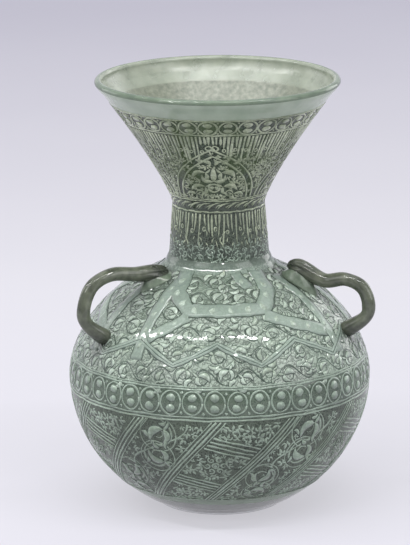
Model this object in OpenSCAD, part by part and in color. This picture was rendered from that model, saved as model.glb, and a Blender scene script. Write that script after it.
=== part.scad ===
// Mosque lamp: a blown green glass lamp with a globe, a waisted neck, a flaring mouth and
// three trailed handles to hang it by, with the lift-out oil cup, float and wick that light it.
// Millimetres. The lamp stands on the plane z = 0, with its axis on Z and its front towards -Y.

/* [Globe] */
// Greatest outer radius of the globe
globe_r = 105.5; // [90:0.5:125]
// Height of the greatest width above the resting plane
globe_mid = 92; // [80:1:110]
// Rise of the shoulder curve above the greatest width
globe_rise = 86; // [76:1:105]
// Depth of the bowl curve that the flat base cuts off
bowl_dip = 9; // [5:0.5:20]
// Power of the shoulder curve, where 2 is an ellipse and less is flatter
shoulder_power = 1.83; // [1.6:0.01:2.4]
// Power of the bowl curve, where 2 is an ellipse and more is squarer
bowl_power = 1.98; // [1.7:0.01:2.5]
// Thickness of the blown glass
wall = 3.2; // [2:0.1:5]
// Thickness of the globe's floor
floor_t = 4; // [2.5:0.5:8]

/* [Foot pad] */
// Height of the clear glass pad under the globe
foot_h = 6; // [3:0.5:12]

/* [Neck] */
// Outer radius of the neck above its curved foot
neck_r = 35.6; // [32:0.2:42]
// Outer radius at the waist, under the mouth
waist_r = 31.7; // [28:0.1:36]
// Height of the neck, from the shoulder seam to the waist seam
neck_h = 47.5; // [36:0.5:65]
// How far the curved foot of the neck spreads over the shoulder
skirt_w = 10; // [6:0.5:16]
// Height of the curved foot of the neck
skirt_h = 14; // [8:0.5:22]
// Power of the curved foot, where more hugs the neck
skirt_power = 2.6; // [1.5:0.1:3.5]
// How far the flat thread at the neck's foot stands proud
thread_proud = 0.6; // [0.4:0.1:2]
// Half the height of the flat thread at the neck's foot
thread_half_h = 2.4; // [1.5:0.1:4]
// Height of the thread above the shoulder seam
thread_up = 9; // [5:0.5:14]

/* [Mouth] */
// Outer radius of the mouth, where the rim thread sits on it
mouth_r = 84; // [65:0.5:100]
// Height of the flaring mouth, from the waist to the rim seam
mouth_h = 83.5; // [60:0.5:110]
// Power of the flare, where 1 is a straight cone
flare_power = 1.23; // [1:0.01:1.6]
// Thickness of the rounded rim thread
rim_d = 5.2; // [4:0.2:9]
// Height of the rim thread's middle above the seam it sits on
rim_lift = 1.2; // [0.4:0.1:2]

/* [Handles] */
// Angle of the left, right and back handle from the front, seen from above
handle_angle = [-65, 65, 180]; // [-180:1:180]
// Distance of each tongue's tip from the side of the neck
tip_out = [5.4, 13.9, 10.4]; // [2:0.1:24]
// Height of each tongue's tip above the shoulder that it is pressed on
tip_lift = [0, 6, 3]; // [0:0.5:8]
// How far each arm dips between its tongue and its bend
arm_dip = [-1, 8.5, 3]; // [-4:0.5:10]
// Radius of each handle's bend
bend_r = [22, 17, 20]; // [12:0.5:26]
// How far the middle of the bend stands out past the globe
reach = 3.5; // [0:0.5:12]
// Run of the arm from the tip of the tongue to its dip
arm_run = 27; // [18:1:34]
// Run from the tip of the tongue to its thickest part
head_run = 9; // [6:0.5:14]
// Rise of the arm from its dip to the bend
arm_crest = 2; // [0:0.5:6]
// Height of the lower root above the greatest width
root_up = 36; // [20:1:45]
// How far the lower stretch bows outwards
lower_bow = 8; // [0:0.5:12]
// Thickness of the trail in its bend
trail_d = 9.4; // [6:0.2:13]
// Thickness of the tongue
tongue_d = 11.6; // [7:0.2:16]
// Thickness of the tongue's tip
tip_d = 6; // [4:0.2:9]
// Width of the tongue over its thickness
tongue_spread = 1.3; // [1:0.05:1.8]
// Thickness of the lower root
root_d = 11.4; // [7:0.2:16]
// How far the trail's ends sink towards the glass, to be cut by it
trail_sink = 7; // [4:0.5:10]
// Thickness of the pad of glass under each arm
seat_d = 17; // [12:0.5:24]
// Run from the tip of the tongue to the pad under the arm
seat_run = 16; // [10:0.5:22]

/* [Oil cup] */
// Height of the oil cup
cup_h = 64; // [45:1:100]
// Thickness of the oil cup's wall
cup_wall = 2.2; // [1.5:0.1:4]
// Thickness of the oil cup's floor
cup_floor = 3.5; // [2:0.5:8]
// How much wider the cup is at its lip than at its foot, as a radius
cup_taper = 5.5; // [0:0.5:9]
// Gap between the cup's lip and the narrowest part of the neck
cup_clear = 2.4; // [1:0.1:6]

/* [Wick float] */
// Thickness of the cork float
float_t = 8; // [4:0.5:14]
// Gap between the float and the oil cup's wall
float_clear = 2.2; // [1:0.1:4]
// Outer diameter of the brass wick tube
tube_d = 6.4; // [5.6:0.1:9]
// Thickness of the wick tube's wall
tube_wall = 0.8; // [0.5:0.1:1.2]
// Length of the wick tube
tube_l = 26; // [18:0.5:36]
// Length of the wick tube under the float
tube_below = 6; // [3:0.5:10]
// Diameter of the wick tube's collar, which the float hangs from
collar_d = 13; // [10:0.5:16]
// Thickness of the wick tube's collar
collar_t = 1.2; // [0.8:0.1:2.5]
// Gap between the wick and the tube
wick_clear = 0.3; // [0.2:0.05:0.6]
// Height of the wick above the tube
wick_above = 7; // [3:0.5:15]
// Height of the wick's lower end inside the tube
wick_inset = 0.6; // [0.4:0.1:3]

/* [Hidden] */

// Colours of the glass, the darker trailed glass, the cork, the brass and the cotton
glass_green = [0.62, 0.70, 0.63];
clear_green = [0.74, 0.80, 0.74];
trail_green = [0.36, 0.38, 0.29];
cork_brown = [0.66, 0.50, 0.33];
brass_yellow = [0.71, 0.58, 0.30];
cotton_white = [0.90, 0.87, 0.79];

// Straight steps in each stretch of a turned outline, and in a handle's path and section
outline_steps = 20;
foot_steps = 4;
span_steps = 5;
trail_sides = 12;
$fn = 96;

LEFT = 0;
RIGHT = 1;
BACK = 2;

// The bowl curve goes on below the flat base, so that the base is a cut through it
bowl_fall = globe_mid + bowl_dip;
floor_z = foot_h + floor_t;
seam_r = neck_r + skirt_w;
tip_r = [for (out = tip_out) neck_r + out];

// Height of a turned curve over its greatest width, and its radius at a height
function curve_rise(r, wide, tall, power) = tall * pow(1 - pow(r / wide, power), 1 / power);
function curve_r(rise, wide, tall, power) = wide * pow(1 - pow(rise / tall, power), 1 / power);

function shoulder_z(r) = globe_mid + curve_rise(r, globe_r, globe_rise, shoulder_power);
function shoulder_r(z) = curve_r(z - globe_mid, globe_r, globe_rise, shoulder_power);
function shoulder_in_r(z) =
    curve_r(z - globe_mid, globe_r - wall, globe_rise - wall, shoulder_power);
function bowl_r(z) = curve_r(globe_mid - z, globe_r, bowl_fall, bowl_power);
function bowl_in_r(z) = curve_r(globe_mid - z, globe_r - wall, bowl_fall - wall, bowl_power);

seam_z = shoulder_z(seam_r);
seam_in_r = shoulder_in_r(seam_z);
waist_z = seam_z + neck_h;
rim_z = waist_z + mouth_h;

// Radius of the neck at a height over the seam: a straight taper on a spreading foot
function skirt_share(up) = up < skirt_h ? pow(1 - up / skirt_h, skirt_power) : 0;
function taper_r(up) = neck_r + (waist_r - neck_r) * up / neck_h;
function neck_out_r(up) = taper_r(up) + skirt_w * skirt_share(up);
function neck_in_r(up) = taper_r(up) - wall + (seam_in_r - neck_r + wall) * skirt_share(up);
function mouth_out_r(up) = waist_r + (mouth_r - waist_r) * pow(up / mouth_h, flare_power);

// Height of the outer skin of the shoulder, or of the neck's foot inside the seam
function skirt_z(r) = seam_z + skirt_h * (1 - pow((r - neck_r) / skirt_w, 1 / skirt_power));
function skin_z(r) = r < seam_r ? skirt_z(r) : shoulder_z(r);

// Heights along a stretch, closer together where a curve turns fastest near its end
function even(a, b, n) = [for (i = [0:n]) a + (b - a) * i / n];
function eased(a, b, n) = [for (i = [0:n]) a + (b - a) * sin(90 * i / n)];

bowl_zs = [for (i = [0:outline_steps]) globe_mid - (globe_mid - foot_h) * cos(90 * i / outline_steps)];
bowl_in_zs = [for (i = [0:outline_steps]) globe_mid - (globe_mid - floor_z) * cos(90 * i / outline_steps)];
shoulder_zs = eased(globe_mid, seam_z, outline_steps);
neck_ups = even(0, neck_h, outline_steps);
mouth_ups = even(0, mouth_h, outline_steps);
foot_zs = even(0, foot_h, foot_steps);

function tail(list) = [for (i = [1:len(list) - 1]) list[i]];
function reversed(list) = [for (i = [len(list) - 1:-1:0]) list[i]];

bowl_out = [for (z = bowl_zs) [bowl_r(z), z]];
bowl_in = [for (z = bowl_in_zs) [bowl_in_r(z), z]];
shoulder_out = [for (z = shoulder_zs) [shoulder_r(z), z]];
shoulder_in = [for (z = shoulder_zs) [shoulder_in_r(z), z]];
neck_out = [for (up = neck_ups) [neck_out_r(up), seam_z + up]];
neck_in = [for (up = neck_ups) [neck_in_r(up), seam_z + up]];
mouth_out = [for (up = mouth_ups) [mouth_out_r(up), waist_z + up]];
mouth_in = [for (up = mouth_ups) [mouth_out_r(up) - wall, waist_z + up]];

// Clear pad on which the lamp stands
module foot_pad() {
    color(clear_green)
        rotate_extrude()
            polygon(concat([[0, 0]], [for (z = foot_zs) [bowl_r(z), z]], [[0, foot_h]]));
}

// Lower half of the blown globe, with a flat floor
module globe_bowl() {
    color(glass_green)
        rotate_extrude()
            polygon(concat([[0, foot_h]], bowl_out, reversed(bowl_in), [[0, floor_z]]));
}

// Upper half of the blown globe, from its greatest width to the neck's seam
module globe_shoulder() {
    color(glass_green)
        rotate_extrude()
            polygon(concat(shoulder_out, reversed(shoulder_in)));
}

// Waisted neck on its spreading foot
module neck_collar() {
    color(glass_green)
        rotate_extrude()
            polygon(concat(neck_out, reversed(neck_in)));
}

// Flat thread of glass laid round the foot of the neck, cut to sit on it
module neck_thread() {
    middle = [neck_out_r(thread_up), seam_z + thread_up];
    bulge_r = (thread_half_h * thread_half_h + thread_proud * thread_proud) / (2 * thread_proud);
    color(clear_green)
        rotate_extrude()
            difference() {
                translate([middle.x + thread_proud - bulge_r, middle.y])
                    circle(bulge_r);
                translate([0, seam_z - bulge_r])
                    square([middle.x + bulge_r, bulge_r + thread_up - thread_half_h]);
                translate([0, middle.y + thread_half_h])
                    square([middle.x + bulge_r, bulge_r]);
                polygon(concat([[0, seam_z]], neck_out, [[0, waist_z]]));
            }
}

// Flaring mouth above the waist
module mouth_funnel() {
    color(glass_green)
        rotate_extrude()
            polygon(concat(mouth_out, reversed(mouth_in)));
}

// Rounded thread of glass that finishes the rim
module rim_thread() {
    color(clear_green)
        rotate_extrude()
            difference() {
                translate([mouth_r - wall / 2, rim_z + rim_lift])
                    circle(d = rim_d);
                translate([0, rim_z - rim_d])
                    square([mouth_r + rim_d, rim_d]);
            }
}

// Everything inside the outer skin of the globe and neck, which cuts what is laid on it
module lamp_bulk() {
    rotate_extrude()
        polygon(concat([[0, foot_h]], bowl_out, tail(shoulder_out), tail(neck_out), [[0, waist_z]]));
}

// Points of a handle's middle line: distance from the axis, height, thickness and width over thickness
function trail_points(i) =
    let (tip = [tip_r[i], skin_z(tip_r[i]) + tip_lift[i]])
    let (dip = [tip.x + arm_run, tip.y - arm_dip[i]])
    let (out_r = globe_r + reach)
    let (centre = [out_r - bend_r[i], dip.y + arm_crest - bend_r[i]])
    let (root_z = globe_mid + root_up)
    let (root = [shoulder_r(root_z) - trail_sink, root_z])
    let (low = [(out_r + root.x) / 2 + lower_bow, (centre.y + root.y) / 2])
    [[tip.x, tip.y, tip_d, tongue_spread],
     [tip.x + head_run, tip.y, tongue_d, tongue_spread],
     [dip.x, dip.y, (tongue_d + trail_d) / 2, 1],
     [centre.x, centre.y + bend_r[i], trail_d, 1],
     [centre.x + bend_r[i] * sin(45), centre.y + bend_r[i] * cos(45), trail_d, 1],
     [out_r, centre.y, trail_d, 1],
     [low.x, low.y, trail_d, 1],
     [root.x, root.y, root_d, 1]];

// Smooth curve through the points, by the cubic of each four neighbours
function cubic(a, b, c, d, t) =
    (2 * b + (c - a) * t + (2 * a - 5 * b + 4 * c - d) * t * t + (3 * b - a - 3 * c + d) * t * t * t) / 2;
function smooth_path(p) =
    concat([for (i = [0:len(p) - 2], k = [0:span_steps - 1])
               cubic(p[max(i - 1, 0)], p[i], p[i + 1], p[min(i + 2, len(p) - 1)], k / span_steps)],
           [p[len(p) - 1]]);

// One round section of the trail, square to the path
function trail_ring(path, i) =
    let (a = path[max(i - 1, 0)])
    let (b = path[min(i + 1, len(path) - 1)])
    let (along = [b.x - a.x, b.y - a.y] / norm([b.x - a.x, b.y - a.y]))
    let (half = path[i].z / 2)
    [for (k = [0:trail_sides - 1])
        let (turn = 360 * k / trail_sides)
        [path[i].x - along.y * half * cos(turn),
         half * path[i][3] * sin(turn),
         path[i].y + along.x * half * cos(turn)]];

// Trail of hot glass laid along a path in the plane of the lamp's axis
module trail(path) {
    rings = len(path);
    last = (rings - 1) * trail_sides;
    points = [for (i = [0:rings - 1]) each trail_ring(path, i)];
    sides = [for (i = [0:rings - 2], k = [0:trail_sides - 1])
                let (j = (k + 1) % trail_sides)
                let (low = i * trail_sides)
                each [[low + k, low + trail_sides + k, low + j],
                      [low + j, low + trail_sides + k, low + trail_sides + j]]];
    near_end = [for (k = [1:trail_sides - 2]) [0, k, k + 1]];
    far_end = [for (k = [1:trail_sides - 2]) [last, last + k + 1, last + k]];
    polyhedron(points, concat(sides, near_end, far_end), convexity = 4);
}

module turned_to_handle(i) {
    rotate([0, 0, handle_angle[i] - 90])
        children();
}

// Ball of hot glass set on the shoulder under a handle's arm
module seat_ball(i) {
    seat_r = tip_r[i] + seat_run;
    turned_to_handle(i)
        translate([seat_r, 0, skin_z(seat_r)])
            sphere(d = seat_d);
}

// Handle: a trail from the tongue on the shoulder, out, round the bend and back to the globe
module handle(i) {
    color(trail_green)
        difference() {
            turned_to_handle(i)
                trail(smooth_path(trail_points(i)));
            lamp_bulk();
            seat_ball(i);
        }
}

// Pad of glass that fills the corner between a handle's arm and the shoulder
module seat(i) {
    color(trail_green)
        difference() {
            seat_ball(i);
            lamp_bulk();
        }
}

module handle_left() {
    handle(LEFT);
}

module handle_right() {
    handle(RIGHT);
}

module handle_back() {
    handle(BACK);
}

module seat_left() {
    seat(LEFT);
}

module seat_right() {
    seat(RIGHT);
}

module seat_back() {
    seat(BACK);
}

// The oil cup stands on the globe's floor and passes the waist when it is lifted out
cup_lip_r = waist_r - wall - cup_clear;
cup_foot_r = cup_lip_r - cup_taper;
cup_floor_z = floor_z + cup_floor;
cup_top_z = floor_z + cup_h - cup_wall / 2;

module oil_cup() {
    color(clear_green)
        rotate_extrude() {
            polygon([[0, floor_z], [cup_foot_r, floor_z], [cup_lip_r, cup_top_z],
                     [cup_lip_r - cup_wall, cup_top_z], [cup_foot_r - cup_wall, cup_floor_z],
                     [0, cup_floor_z]]);
            translate([cup_lip_r - cup_wall / 2, cup_top_z])
                circle(d = cup_wall);
        }
}

// The wick tube stands on the cup's floor until oil lifts the float
float_r = cup_foot_r - cup_wall - float_clear;
float_z = cup_floor_z + tube_below;
tube_in_d = tube_d - 2 * tube_wall;

module wick_float() {
    color(cork_brown)
        translate([0, 0, float_z])
            difference() {
                cylinder(h = float_t, r = float_r);
                translate([0, 0, -float_t])
                    cylinder(h = 3 * float_t, d = tube_d);
            }
}

module wick_tube() {
    color(brass_yellow)
        difference() {
            union() {
                translate([0, 0, cup_floor_z])
                    cylinder(h = tube_l, d = tube_d);
                translate([0, 0, float_z + float_t])
                    cylinder(h = collar_t, d = collar_d);
            }
            translate([0, 0, cup_floor_z - tube_l])
                cylinder(h = 3 * tube_l, d = tube_in_d);
        }
}

module wick() {
    color(cotton_white)
        translate([0, 0, cup_floor_z + wick_inset])
            cylinder(h = tube_l - wick_inset + wick_above, d = tube_in_d - 2 * wick_clear);
}

foot_pad();
globe_bowl();
globe_shoulder();
neck_collar();
neck_thread();
mouth_funnel();
rim_thread();
handle_left();
handle_right();
handle_back();
seat_left();
seat_right();
seat_back();
oil_cup();
wick_float();
wick_tube();
wick();
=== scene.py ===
# %% [markdown]
# # A painted glass mosque lamp
# The lamp is blown green glass: a globe, a waisted neck and a flaring mouth, with three handles
# trailed on hot. Nearly all of its skin is painted with fine dark and pale ornament. The solids
# already give every size, so this script only dresses them: it loads them as a fixed frame,
# then builds smooth glass, brushwork and fittings in the same place.

import math

import bmesh
import bpy
import numpy as np
from mathutils import Matrix, Vector


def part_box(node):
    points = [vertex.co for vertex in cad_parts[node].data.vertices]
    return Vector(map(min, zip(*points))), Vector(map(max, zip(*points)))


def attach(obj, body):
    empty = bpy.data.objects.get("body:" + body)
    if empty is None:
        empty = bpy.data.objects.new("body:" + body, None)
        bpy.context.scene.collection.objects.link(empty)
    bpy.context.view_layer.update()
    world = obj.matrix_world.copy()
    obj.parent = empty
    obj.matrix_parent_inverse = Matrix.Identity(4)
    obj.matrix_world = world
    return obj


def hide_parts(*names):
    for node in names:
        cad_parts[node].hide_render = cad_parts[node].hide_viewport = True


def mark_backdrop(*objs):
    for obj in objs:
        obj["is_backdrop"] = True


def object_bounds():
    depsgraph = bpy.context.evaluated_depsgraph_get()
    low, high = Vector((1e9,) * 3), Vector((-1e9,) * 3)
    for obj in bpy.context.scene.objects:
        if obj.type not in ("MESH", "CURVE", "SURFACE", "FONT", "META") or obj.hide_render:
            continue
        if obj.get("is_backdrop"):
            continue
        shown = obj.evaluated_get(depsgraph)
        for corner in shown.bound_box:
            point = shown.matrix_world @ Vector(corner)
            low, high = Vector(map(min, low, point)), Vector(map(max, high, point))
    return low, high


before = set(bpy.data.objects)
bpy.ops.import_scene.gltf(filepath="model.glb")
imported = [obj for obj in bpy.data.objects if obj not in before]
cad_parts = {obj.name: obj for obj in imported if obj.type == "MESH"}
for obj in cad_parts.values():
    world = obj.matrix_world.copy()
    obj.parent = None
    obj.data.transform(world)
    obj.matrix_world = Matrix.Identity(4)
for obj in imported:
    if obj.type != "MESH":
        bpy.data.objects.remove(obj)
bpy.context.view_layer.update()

# %% [markdown]
# ## The camera
# The photograph was taken from a little above the shoulder with a long lens, because the globe
# hardly swells towards the viewer. A camera could be placed by eye, but the rim's ellipse and the
# globe's outline fix the angle: 14 degrees above the table and 6.5 degrees to the left of the
# front. The lamp stands a little low and to the right in the picture, so the camera looks at a
# point up and to the left of its middle, and it leans by half a degree, as the lamp does.

# %% Camera
MM = 0.001
PICTURE_W, PICTURE_H = 410, 545
MM_PER_PIXEL = 0.70
MIDDLE_PIXEL = (219.0, 290.7)
SENSOR = 36.0
middle = Vector((0, 0, 150 * MM))
view_turn, view_rise, view_lean = (math.radians(x) for x in (-6.5, 14.14, 0.45))
view_distance = 2700 * MM

back = Vector((math.sin(view_turn) * math.cos(view_rise),
               -math.cos(view_turn) * math.cos(view_rise),
               math.sin(view_rise)))
side = Vector((math.cos(view_turn), math.sin(view_turn), 0))
upward = back.cross(side)
aim = middle + side * (PICTURE_W / 2 - MIDDLE_PIXEL[0]) * MM_PER_PIXEL * MM
aim -= upward * (PICTURE_H / 2 - MIDDLE_PIXEL[1]) * MM_PER_PIXEL * MM

camera_data = bpy.data.cameras.new("camera")
camera_data.sensor_width = SENSOR
camera_data.lens = SENSOR * view_distance / (PICTURE_H * MM_PER_PIXEL * MM)
camera = bpy.data.objects.new("camera", camera_data)
bpy.context.scene.collection.objects.link(camera)
camera.location = middle + back * view_distance
looking = (aim - camera.location).to_track_quat("-Z", "Y")
camera.rotation_euler = (looking.to_matrix() @ Matrix.Rotation(-view_lean, 3, "Z")).to_euler()
bpy.context.scene.camera = camera
print("lens in mm:", round(camera_data.lens, 1))

# %% [markdown]
# ## Colours and nodes
# Colours are written as they look on a screen, in hex, and one function turns them to the linear
# values that light is worked out with. Another adds a node, sets it and links it, so that each
# material reads as a short list of what its surface does. A Mix node keeps sockets for numbers,
# vectors and colours side by side, so the colours go in by place, and come out at outputs[2].

# %% Colour and node helpers
MIX_FACTOR, MIX_A, MIX_B = 0, 6, 7


def linear(hex_colour):
    """A screen colour such as "#8899aa" as linear red, green, blue and alpha."""
    parts = [int(hex_colour[i:i + 2], 16) / 255 for i in (1, 3, 5)]
    return [x / 12.92 if x <= 0.04045 else ((x + 0.055) / 1.055) ** 2.4 for x in parts] + [1.0]


def add(tree, kind, inputs=None, **settings):
    """Adds a node, sets it, and sets or links its inputs."""
    made = tree.nodes.new(kind)
    for name, value in settings.items():
        setattr(made, name, value)
    for name, value in (inputs or {}).items():
        if isinstance(value, bpy.types.NodeSocket):
            tree.links.new(value, made.inputs[name])
        else:
            made.inputs[name].default_value = value
    return made


def new_material(name):
    """An empty node material, its tree and its object coordinates."""
    material = bpy.data.materials.new(name)
    material.use_nodes = True
    tree = material.node_tree
    tree.nodes.clear()
    return material, tree, add(tree, "ShaderNodeTexCoord").outputs["Object"]


def finish_material(tree, shader):
    """Links a shader to the output of its material."""
    add(tree, "ShaderNodeOutputMaterial", {"Surface": shader.outputs[0]})


def per_mm(size):
    """The scale of a pattern whose grains are this many millimetres wide."""
    return 1 / (size * MM)


print("middle grey as linear:", round(linear("#808080")[0], 3))

# %% [markdown]
# ## Glass
# Old blown glass is never quite clear: it has seeds and cords from the pot, and its skin has been
# dulled by weather, so it lets some light through and sends some back. A pure glass shader would
# show only the room, so the shader here is part glass and part pale body colour. Wide, low bumps
# stand for the unevenness that the blowing left, and break long reflections into pieces. One
# recipe makes every glass of the lamp. They differ in two tints, in clearness and in dullness.

# %% Glass materials
# The tint of the painted shade round the handles' joints.
JOINT_SHADE_TINT = "#252c26"
SEED_MM, SEED_TINT = 5.0, "#e4e9e0"
GLASS_IOR = 1.51


def glass(name, colour, cloud, clear, rough=0.1, cloud_mm=14, wave=0.12, wave_mm=9, seed=0.0):
    """Blown soda glass: colour and cloud are its two tints, clear is how much light it passes."""
    material, tree, place = new_material(name)
    clouds = add(tree, "ShaderNodeTexNoise", {"Vector": place, "Scale": per_mm(cloud_mm), "Detail": 5.0})
    share = add(tree, "ShaderNodeMapRange",
                {"Value": clouds.outputs["Fac"], "From Min": 0.3, "From Max": 0.7})
    tint = add(tree, "ShaderNodeMix",
               {MIX_FACTOR: share.outputs["Result"], MIX_A: linear(colour), MIX_B: linear(cloud)},
               data_type="RGBA")
    bubbles = add(tree, "ShaderNodeTexVoronoi", {"Vector": place, "Scale": per_mm(SEED_MM)})
    bubble = add(tree, "ShaderNodeMapRange",
                 {"Value": bubbles.outputs["Distance"], "From Min": 0.05, "From Max": 0.14,
                  "To Min": seed, "To Max": 0.0})
    body = add(tree, "ShaderNodeMix",
               {MIX_FACTOR: bubble.outputs["Result"], MIX_A: tint.outputs[2], MIX_B: linear(SEED_TINT)},
               data_type="RGBA")
    # Painted shade round the handles' joints, by a number kept on each point.
    joint_shade = add(tree, "ShaderNodeAttribute", attribute_name="joint_shade")
    joint_shaded = add(tree, "ShaderNodeMix",
                {MIX_FACTOR: joint_shade.outputs["Fac"], MIX_A: body.outputs[2], MIX_B: linear(JOINT_SHADE_TINT)},
                data_type="RGBA")
    dull = add(tree, "ShaderNodeMapRange",
               {"Value": clouds.outputs["Fac"], "To Min": rough, "To Max": 2 * rough})
    waves = add(tree, "ShaderNodeTexNoise", {"Vector": place, "Scale": per_mm(wave_mm), "Detail": 2.0})
    uneven = add(tree, "ShaderNodeBump",
                 {"Height": waves.outputs["Fac"], "Strength": wave, "Distance": 1 * MM})
    skin = add(tree, "ShaderNodeBsdfPrincipled",
               {"Base Color": joint_shaded.outputs[2], "Roughness": dull.outputs["Result"],
                "Normal": uneven.outputs["Normal"], "IOR": GLASS_IOR, "Transmission Weight": clear})
    finish_material(tree, skin)
    return material


# Soda glass, fire polished: a wet shine over a pale green depth, above the paint of the mouth.
clear_glass = glass("clear_green_glass_fire_polished", "#d2e0cc", "#bdceb9", 0.5, rough=0.03)
# The inside where paint lies on the far face: dull, mottled and hardly clear.
inner_glass = glass("pale_green_glass_paint_behind", "#8b907f", "#636a5d", 0.16, rough=0.24, cloud_mm=3.0)
# The inside of the bare lip: even in tint, with broad soft highlights.
inner_lip_glass = glass("pale_green_glass_clear_inside", "#9ca393", "#858d7e", 0.2, rough=0.17, cloud_mm=9)
# A lip rounded in the flame: thick, so greener than the wall, with one thin highlight along it.
lip_glass = glass("green_glass_rounded_lip", "#80907b", "#687868", 0.38, rough=0.04, cloud_mm=9)
# Bare wall just under the paint: half clear, so that the table shows in it.
edge_glass = glass("green_glass_bare_edge", "#a3b6a2", "#8a9f8a", 0.5, rough=0.05)
# A thick clear foot: nearly without colour, because the table's light comes through it.
foot_glass = glass("clear_glass_thick_foot", "#eeeff1", "#dfe3e3", 0.8, rough=0.03)
# Olive glass, trailed thick: dark in body, with cords that make its highlights wander.
trail_glass = glass("olive_green_glass_trailed", "#757b69", "#474c41", 0.3, rough=0.05, cloud_mm=7,
                    wave=0.3, wave_mm=6)
# Green glass, pressed flat: thinner than a trail, so paler and greener.
pad_glass = glass("green_glass_pressed", "#8b9a86", "#5f6d5c", 0.35, rough=0.06, cloud_mm=5)
# Thin glass, blown clear: little but its highlights and its seeds shows.
cup_glass = glass("clear_thin_glass_blown", "#dbe6da", "#cfdccf", 0.9, rough=0.02, wave=0.05, seed=0.3)
print("glass:", [m.name for m in (clear_glass, inner_glass, inner_lip_glass, lip_glass, trail_glass)])

# %% [markdown]
# ## Paint
# The painter laid a thin dark green wash, which the fire melted into the skin, and drew on it with
# pale and dark lines. The wash is blotchy, because glass doesn't hold a wet brush evenly. Between
# the larger motifs it carries a web of hair lines, too fine to build one by one, which is the edges
# of a cell pattern here. One recipe makes the washes and the lines. They differ in their colours,
# given for the bowl, the shoulder and the mouth, where the fire browned the paint. On the upper
# shoulder each colour already turns towards its mouth colour, as painted shade under the flaring
# mouth. Each colour turns to a worn tint in patches and to a dark stain in larger ones, and is
# darkened with painted shade round the handles' joints.

# %% Paint materials
BOWL_END, SHOULDER_START, MOUTH_START = 0.084, 0.089, 0.178
BROWN_START, BROWN_FULL = 0.215, 0.24
CURL, CURL_MM = 13 * MM, 6
PATCH_MM, SPECK_MM, STAIN_MM, BRUSH_MM = 26, 2.2, 42, 8
STAIN, STAIN_TINT = 0.42, "#26302a"
BROWNED, BROWN_TINT = 0.35, "#4c5f2a"
ENAMEL_IOR = 1.5


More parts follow.
